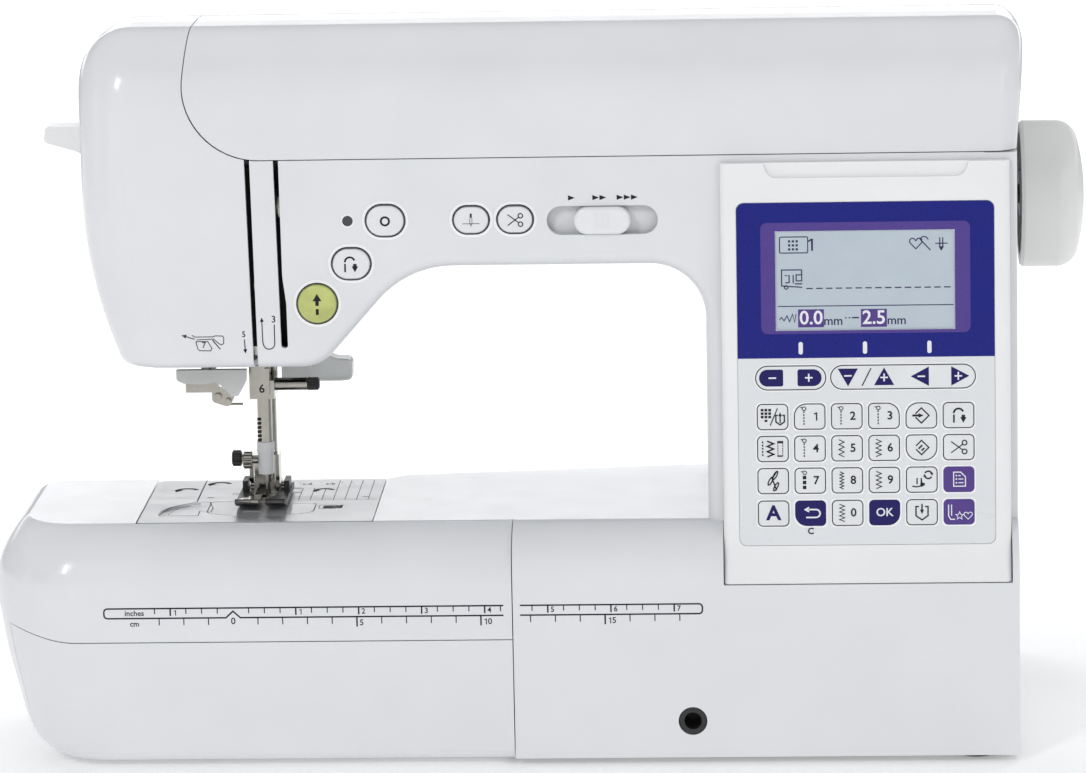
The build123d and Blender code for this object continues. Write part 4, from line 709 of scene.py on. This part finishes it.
def arm_prints(printing):
    """Print on the fixed front of the arm: button outlines, a lamp dot, speed arrows and the thread path."""
    front = on_front(ARM_FRONT)
    halos, rims = [], []
    for u, v, width, height in PUSH_BUTTONS:
        radius = height / 2
        halos += loop(u, v, width + 2.7, height + 2.7, radius + 1.34, 1.1)
        rims += loop(u, v, width + 1.2, height + 1.2, radius + 0.59, 0.5)
    stamp("button_halos", front, halos, printing["key_halo"])
    stamp("button_rims", front, rims, printing["ink_grey"], layer=2)
    stamp("lamp_rim", front, ring(-73.9, 221.4, 2.5, 0.7), printing["key_halo"])
    stamp("lamp_dot", front, disc(-73.9, 221.4, 2.1), printing["lamp_dark"], layer=4)
    dark = []
    for tips, count in ((14.5, 1), (24.2, 2), (33.9, 3)):
        for i in range(count):
            u = tips + 2.85 * i
            dark += [[(u, 230.7), (u, 228.6), (u + 2.75, 229.65)]]
    dark += label("5", -116.9, 175.7, 2.3) + arrow([(-116.7, 173.7), (-116.4, 167.9)], 0.42, 1.8)
    dark += label("3", -104.7, 181.7, 2.7)
    path = [(-104.5, 179.7), (-104.5, 172.0)] + arc(-106.8, 171.9, 2.3, 0, -180, 10)
    path += [(-109.3, 172.5), (-109.5, 182.6)]
    dark += arrow(path, 0.42, 1.8)
    grey = line([(-136.3, 173.0), (-135.6, 170.0), (-134.9, 169.3), (-130.4, 169.2), (-129.9, 170.1),
                 (-131.5, 173.0)], 0.36, closed=True)
    grey += line([(-137.8, 175.6), (-136.7, 174.9), (-129.5, 174.9), (-128.4, 175.3), (-125.4, 175.2),
                  (-125.0, 174.4), (-125.1, 172.2), (-125.9, 171.6), (-126.9, 172.0), (-129.2, 174.0),
                  (-136.0, 173.7)], 0.36)
    grey += line([(-129.6, 173.6), (-126.5, 169.8)], 0.46)
    grey += arrow([(-136.8, 174.0), (-142.0, 175.7)], 0.4, 1.9) + label("7", -133.1, 171.5, 2.4)
    stamp("arm_marks", front, dark, printing["ink_dark"])
    stamp("arm_drawing", front, grey, printing["ink_grey"])


RULER_TOP, RULER_FOOT = 66.7, 62.65
RULER_ZERO = -123.1
INCH = 25.4
SEAM_LEFT = -14.0           # the ruler stops here, short of the seam beside the flat bed
SEAM_MIDDLE = -10.6


def ruler(printing):
    """Inches above and centimetres below, from the needle's line to the right."""
    on_base = on_front(BASE_FRONT)
    fine, bold = 0.42, 0.62
    corner = 1.4
    edge = [(SEAM_LEFT, RULER_TOP), (-174.0, RULER_TOP)]
    edge += arc(-174.0, RULER_TOP - corner, corner, 90, 180, 5)[1:]
    edge += arc(-174.0, RULER_FOOT + corner, corner, 180, 270, 5)
    edge += [(RULER_ZERO - 2.9, RULER_FOOT), (RULER_ZERO, RULER_FOOT + 2.7), (RULER_ZERO + 2.9, RULER_FOOT),
             (SEAM_LEFT, RULER_FOOT)]
    left = line(edge, bold)
    edge = [(-7.3, RULER_TOP), (64.6, RULER_TOP)] + arc(64.6, RULER_TOP - corner, corner, 90, 0, 5)[1:]
    edge += arc(64.6, RULER_FOOT + corner, corner, 0, -90, 5) + [(-7.3, RULER_FOOT)]
    right = line(edge, bold)
    marks = []
    for quarter in range(-5, 29):
        u = RULER_ZERO + quarter * INCH / 4
        if quarter == 0 or -14.2 < u < -7.0:
            continue
        whole = quarter % 4 == 0
        marks += line([(u, RULER_TOP), (u, RULER_TOP - (3.1 if whole else 2.3))], bold if whole else fine)
        if whole:
            marks += label(str(abs(quarter) // 4), u + 1.9, RULER_TOP - 1.85, 2.2)
    for centimetre in range(-3, 19):
        u = RULER_ZERO + centimetre * 10
        if centimetre == 0 or -14.2 < u < -7.0:
            continue
        whole = centimetre % 5 == 0
        marks += line([(u, RULER_FOOT), (u, RULER_FOOT - (4.1 if whole else 2.9))], bold if whole else fine)
        if whole:
            marks += label(str(centimetre), u + (1.9 if centimetre < 10 else 2.8), RULER_FOOT - 2.5, 2.4)
    marks += label("0", RULER_ZERO, RULER_FOOT - 1.5, 2.7)
    marks += label("inches", -163.1, 64.7, 2.2) + label("cm", -163.1, 60.3, 2.2)
    carried = [face for face in left + marks if max(u for u, _ in face) < SEAM_MIDDLE]
    fixed = [face for face in right + marks if max(u for u, _ in face) >= SEAM_MIDDLE]
    stamp("ruler_left", on_base, carried, printing["ink_dark"], "flat_bed")
    stamp("ruler_right", on_base, fixed, printing["ink_dark"])


def plate_prints(printing):
    """Guide lines, seams and marks on the needle plate."""
    top = on_top(BED_TOP)
    up = (0, 0, 1)
    seams = line([(-143.0, 4.6), (-142.8, -36.4)], 0.4)
    seams += line([(-155.9, -62.2), (-152.6, -47.0), (-147.0, -40.6), (-142.7, -37.0), (-137.3, -37.4),
                   (-134.9, -48.8), (-135.2, -55.2), (-139.8, -53.6), (-139.7, -62.6), (-155.9, -62.2)], 0.42)
    seams += line([(-152.2, -60.8), (-149.6, -50.0), (-145.4, -43.4), (-140.7, -39.4)], 0.3)
    guides = []
    for u in (-101.0, -96.2, -91.4, -86.6, -81.8, -77.0, -72.2):
        guides += line([(u, -35.2), (u, 2.0 if u > -90 else -12.0)], 0.34)
    for v in (-35.2, -31.6, -28.0):
        guides += line([(-103.0, v), (-88.0, v)], 0.2)
    guides += line([(-103.0, -35.2), (-69.0, -35.2)], 0.2)
    for i in range(8):
        u = -103 + 4.4 * i
        guides += line([(u, -3.0), (u, -1.2)], 0.2) + line([(u + 0.5, -7.2), (u + 1.7, -7.2)], 0.2)
    marks = leaf_mark(-149.3, -14.4, 1.0) + leaf_mark(-136.6, -3.0, 1.0) + leaf_mark(-91.8, -16.6, 0.9)
    marks += bar(-139.4, -29.4, -136.6, -28.4) + bar(-129.6, -22.6, -126.6, -21.8)
    marks += bar(-105.0, -12.6, -101.6, -11.6) + bar(-103.9, -20.6, -101.0, -19.6)
    marks += label("5/8", -100.0, -4.6, 2.4) + label("4/8", -90.4, -4.6, 2.4)
    marks += bar(-74.8, -29.6, -72.0, -28.9)
    slot = loop(-87.6, -48.2, 7.4, 6.4, 0.8, 0.3) + bar(-89.6, -50.0, -85.6, -46.6)
    slot += bar(-82.9, -50.8, -81.7, -44.8)
    stamp("plate_seams", top, seams, printing["ink_plate"], facing=up)
    stamp("plate_guides", top, guides, printing["ink_line"], facing=up)
    stamp("plate_marks", top, marks + slot, printing["ink_plate"], facing=up)


def leaf_mark(u, v, s):
    """A short curved arrow that shows which way the cover turns."""
    turns = [radians(190 - 20 * i) for i in range(10)]
    bow = [(u + 4.0 * s * cos(a), v + 3.4 * s * sin(a)) for a in turns]
    head = [(u - 5.4 * s, v + 1.0 * s), (u - 1.6 * s, v + 0.6 * s), (u - 4.4 * s, v - 3.4 * s)]
    return line(bow, 2.0 * s) + [head]


def guide_mark(printing):
    mark = label("6", -113.9, 146.2, 3.4, 0.1)
    stamp("guide_mark", on_front(GUIDE_FRONT), mark, printing["ink_dark"])


def block(name, low, high, material, body):
    """A box between two corners, in mm, with a small chamfer round its front."""
    (x0, y0, z0), (x1, y1, z1) = low, high
    cut = 0.5
    rings = [[(x0 + e, y, z0 + e), (x1 - e, y, z0 + e), (x1 - e, y, z1 - e), (x0 + e, y, z1 - e)]
             for y, e in ((y1, 0), (y0 + cut, 0), (y0, cut))]
    points = [Vector(point) * MM for ring_of_points in rings for point in ring_of_points]
    sides = [(4 * r + i, 4 * r + (i + 1) % 4, 4 * r + 4 + (i + 1) % 4, 4 * r + 4 + i)
             for r in range(2) for i in range(4)]
    mesh = bpy.data.meshes.new(name)
    mesh.from_pydata(points, [], sides + [(3, 2, 1, 0), (8, 9, 10, 11)])
    mesh.materials.append(material)
    piece = bpy.data.objects.new(name, mesh)
    bpy.context.scene.collection.objects.link(piece)
    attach(piece, body)


def knurl(name, x0, x1, y, z, radius, material, body):
    """Ribs round a knob whose axis lies along x."""
    faces, points = [], []
    ribs = 14
    for i in range(ribs):
        for turn, reach in ((0, 0), (0.28, 0.35), (0.56, 0.35), (0.84, 0)):
            angle = 2 * pi * (i + turn) / ribs
            far = radius + reach
            points += [Vector((x, y + far * cos(angle), z + far * sin(angle))) * MM for x in (x0, x1)]
        start = 8 * i
        faces += [(start + 2 * k, start + 2 * k + 1, start + 2 * k + 3, start + 2 * k + 2) for k in range(3)]
    mesh = bpy.data.meshes.new(name)
    mesh.from_pydata(points, [], faces)
    mesh.materials.append(material)
    piece = bpy.data.objects.new(name, mesh)
    bpy.context.scene.collection.objects.link(piece)
    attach(piece, body)


def needle_fittings(materials):
    """Ribs on the knobs, the needle bar's notched strip, and a mesh of its own for the presser spring."""
    for i in range(6):
        low = 122.9 + 1.75 * i
        block(f"bar_notch_{i}", (-116.9, -37.4, low), (-115.5, -36.2, low + 1.1), materials["black_plastic"],
              "needle_bar")
    knurl("clamp_screw_ribs", -123.0, -119.9, -34, 114.5, 3.2, materials["nickel"], "needle_bar")
    knurl("foot_screw_ribs", -129.0, -125.8, -20, 112.4, 3.0, materials["black_plastic"], "presser")
    knurl("guide_screw_ribs", -95.4, -91.2, -38, 147.2, 2.3, materials["black_plastic"], "root")
    spring = bpy.data.objects["presser_spring"]
    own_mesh(spring)


# ---------------------------------------------------------------- light, floor and camera
def lamp(name, place, target, width, height, power, mirrored=True):
    light = bpy.data.lights.new(name, "AREA")
    light.shape = "RECTANGLE"
    light.size, light.size_y = width, height
    light.energy = power
    holder = bpy.data.objects.new(name, light)
    holder.location = place
    holder.visible_glossy = mirrored
    holder.visible_camera = False
    aim = Vector(target) - Vector(place)
    holder.rotation_euler = aim.to_track_quat("-Z", "Y").to_euler()
    bpy.context.scene.collection.objects.link(holder)


def studio():
    centre = (0, 0, 0.15)
    lamp("key", (-0.75, -1.6, 1.15), centre, 0.22, 0.55, 7)
    lamp("fill", (1.5, -1.7, 0.9), centre, 1.4, 1.2, 4.8)
    lamp("top", (0.1, 0.2, 2.0), centre, 1.8, 1.2, 4, mirrored=False)
    lamp("left", (-1.8, -0.3, 0.7), centre, 0.8, 1.2, 0.3, mirrored=False)
    lamp("backdrop", (0, 1.3, 2.4), (0, 2.9, 0.6), 3.0, 0.8, 60, mirrored=False)
    world = bpy.data.worlds.new("studio")
    bpy.context.scene.world = world
    world.use_nodes = True
    tree = world.node_tree
    direction = tree.nodes.new("ShaderNodeTexCoord")
    parts = tree.nodes.new("ShaderNodeSeparateXYZ")
    tree.links.new(direction.outputs["Generated"], parts.inputs["Vector"])
    sky = tree.nodes.new("ShaderNodeValToRGB")
    sky.color_ramp.elements[0].position = 0.15
    sky.color_ramp.elements[0].color = (0.765, 0.772, 0.785, 1)
    sky.color_ramp.elements[1].position = 0.75
    sky.color_ramp.elements[1].color = (0.42, 0.425, 0.435, 1)
    tree.links.new(parts.outputs["Z"], sky.inputs["Fac"])
    tree.links.new(sky.outputs["Color"], tree.nodes["Background"].inputs["Color"])
    bpy.context.scene.view_settings.view_transform = "Standard"


def reflector(name, place, target, width, height, colour, glow=0.0):
    """A grey card of the studio that shows only as a reflection in glossy faces."""
    turn = (Vector(target) - Vector(place)).to_track_quat("-Z", "Y").to_matrix()
    corners = [(-width / 2, -height / 2, 0), (width / 2, -height / 2, 0), (width / 2, height / 2, 0),
               (-width / 2, height / 2, 0)]
    mesh = bpy.data.meshes.new(name)
    mesh.from_pydata([turn @ Vector(corner) + Vector(place) for corner in corners], [], [(0, 1, 2, 3)])
    mesh.materials.append(surface(name, colour, 0.9, patch_mm=200, glow=glow))
    card = bpy.data.objects.new(name, mesh)
    bpy.context.scene.collection.objects.link(card)
    card.visible_camera = False
    card.visible_diffuse = False
    card.visible_shadow = False


def reflectors():
    """Cards seen only in reflections: they give the white edges a tone and keep the bed's top bright."""
    back_grey, side_grey = (0.30, 0.305, 0.31), (0.08, 0.08, 0.085)
    reflector("high_card", (0, 1.25, 0.98), (0, 0, 0.98), 4.0, 1.02, back_grey)
    reflector("low_card", (0, 1.25, 0.145), (0, 0, 0.145), 4.0, 0.28, back_grey)
    reflector("bright_card", (0, 1.25, 0.3775), (0, 0, 0.3775), 4.0, 0.185, (0.92, 0.92, 0.92), 1.25)
    reflector("far_left_card", (-1.5, 0.5, 0.45), (0, 0, 0.3), 1.6, 0.85, (0.25, 0.25, 0.26))
    reflector("left_card", (-1.25, -0.9, 0.4), (-0.1, 0, 0.15), 0.7, 0.75, side_grey)
    reflector("right_card", (1.3, -1.1, 0.4), (-0.1, 0, 0.15), 0.5, 0.75, side_grey)


def floor():
    """A plain pale sheet that curves up far behind the object."""
    width, front, back, rise, bend = 12.0, -12.0, 12.0, 4.0, 1.2
    profile = [(front, 0.0), (back - bend, 0.0)]
    turns = [radians(9 * i) for i in range(1, 11)]
    profile += [(back - bend + bend * sin(a), bend - bend * cos(a)) for a in turns]
    profile.append((back, rise))
    points = [(x, y, z) for y, z in profile for x in (-width, width)]
    faces = [(2 * i, 2 * i + 1, 2 * i + 3, 2 * i + 2) for i in range(len(profile) - 1)]
    mesh = bpy.data.meshes.new("floor")
    mesh.from_pydata(points, [], faces)
    mesh.polygons.foreach_set("use_smooth", [True] * len(faces))
    mesh.materials.append(surface("floor", (0.92, 0.92, 0.92), 0.7, patch_mm=200, relief_mm=0.01, glow=0.22))
    piece = bpy.data.objects.new("floor", mesh)
    bpy.context.scene.collection.objects.link(piece)


CAMERA_TARGET = Vector((-0.0007, 0, 0.1373))
CAMERA_AZIMUTH = 2.695
CAMERA_ELEVATION = 11.295
CAMERA_ROLL = 1.151
CAMERA_DISTANCE = 2.2
CAMERA_LENS = 174.95


def camera():
    azimuth, elevation, roll = radians(CAMERA_AZIMUTH), radians(CAMERA_ELEVATION), radians(CAMERA_ROLL)
    back = Vector((sin(azimuth) * cos(elevation), -cos(azimuth) * cos(elevation), sin(elevation)))
    right = Vector((cos(azimuth), sin(azimuth), 0))
    up = back.cross(right)
    turned_right = right * cos(roll) - up * sin(roll)
    turned_up = right * sin(roll) + up * cos(roll)
    data = bpy.data.cameras.new("camera")
    data.lens = CAMERA_LENS
    data.sensor_width = 36
    data.clip_start, data.clip_end = 0.05, 30
    holder = bpy.data.objects.new("camera", data)
    turn = Matrix((turned_right, turned_up, back)).transposed().to_4x4()
    holder.matrix_world = Matrix.Translation(CAMERA_TARGET + back * CAMERA_DISTANCE) @ turn
    bpy.context.scene.collection.objects.link(holder)
    bpy.context.scene.camera = holder


# ---------------------------------------------------------------- build
def main():
    materials = {**plastics(), **metals()}
    dress(materials)
    paint_details(materials)
    needle_fittings(materials)
    printing = inks()
    screen_print(printing)
    screen_picture(printing)
    control_keys(printing)
    button_legends(printing)
    arm_prints(printing)
    ruler(printing)
    plate_prints(printing)
    guide_mark(printing)
    studio()
    floor()
    camera()
    reflectors()


main()
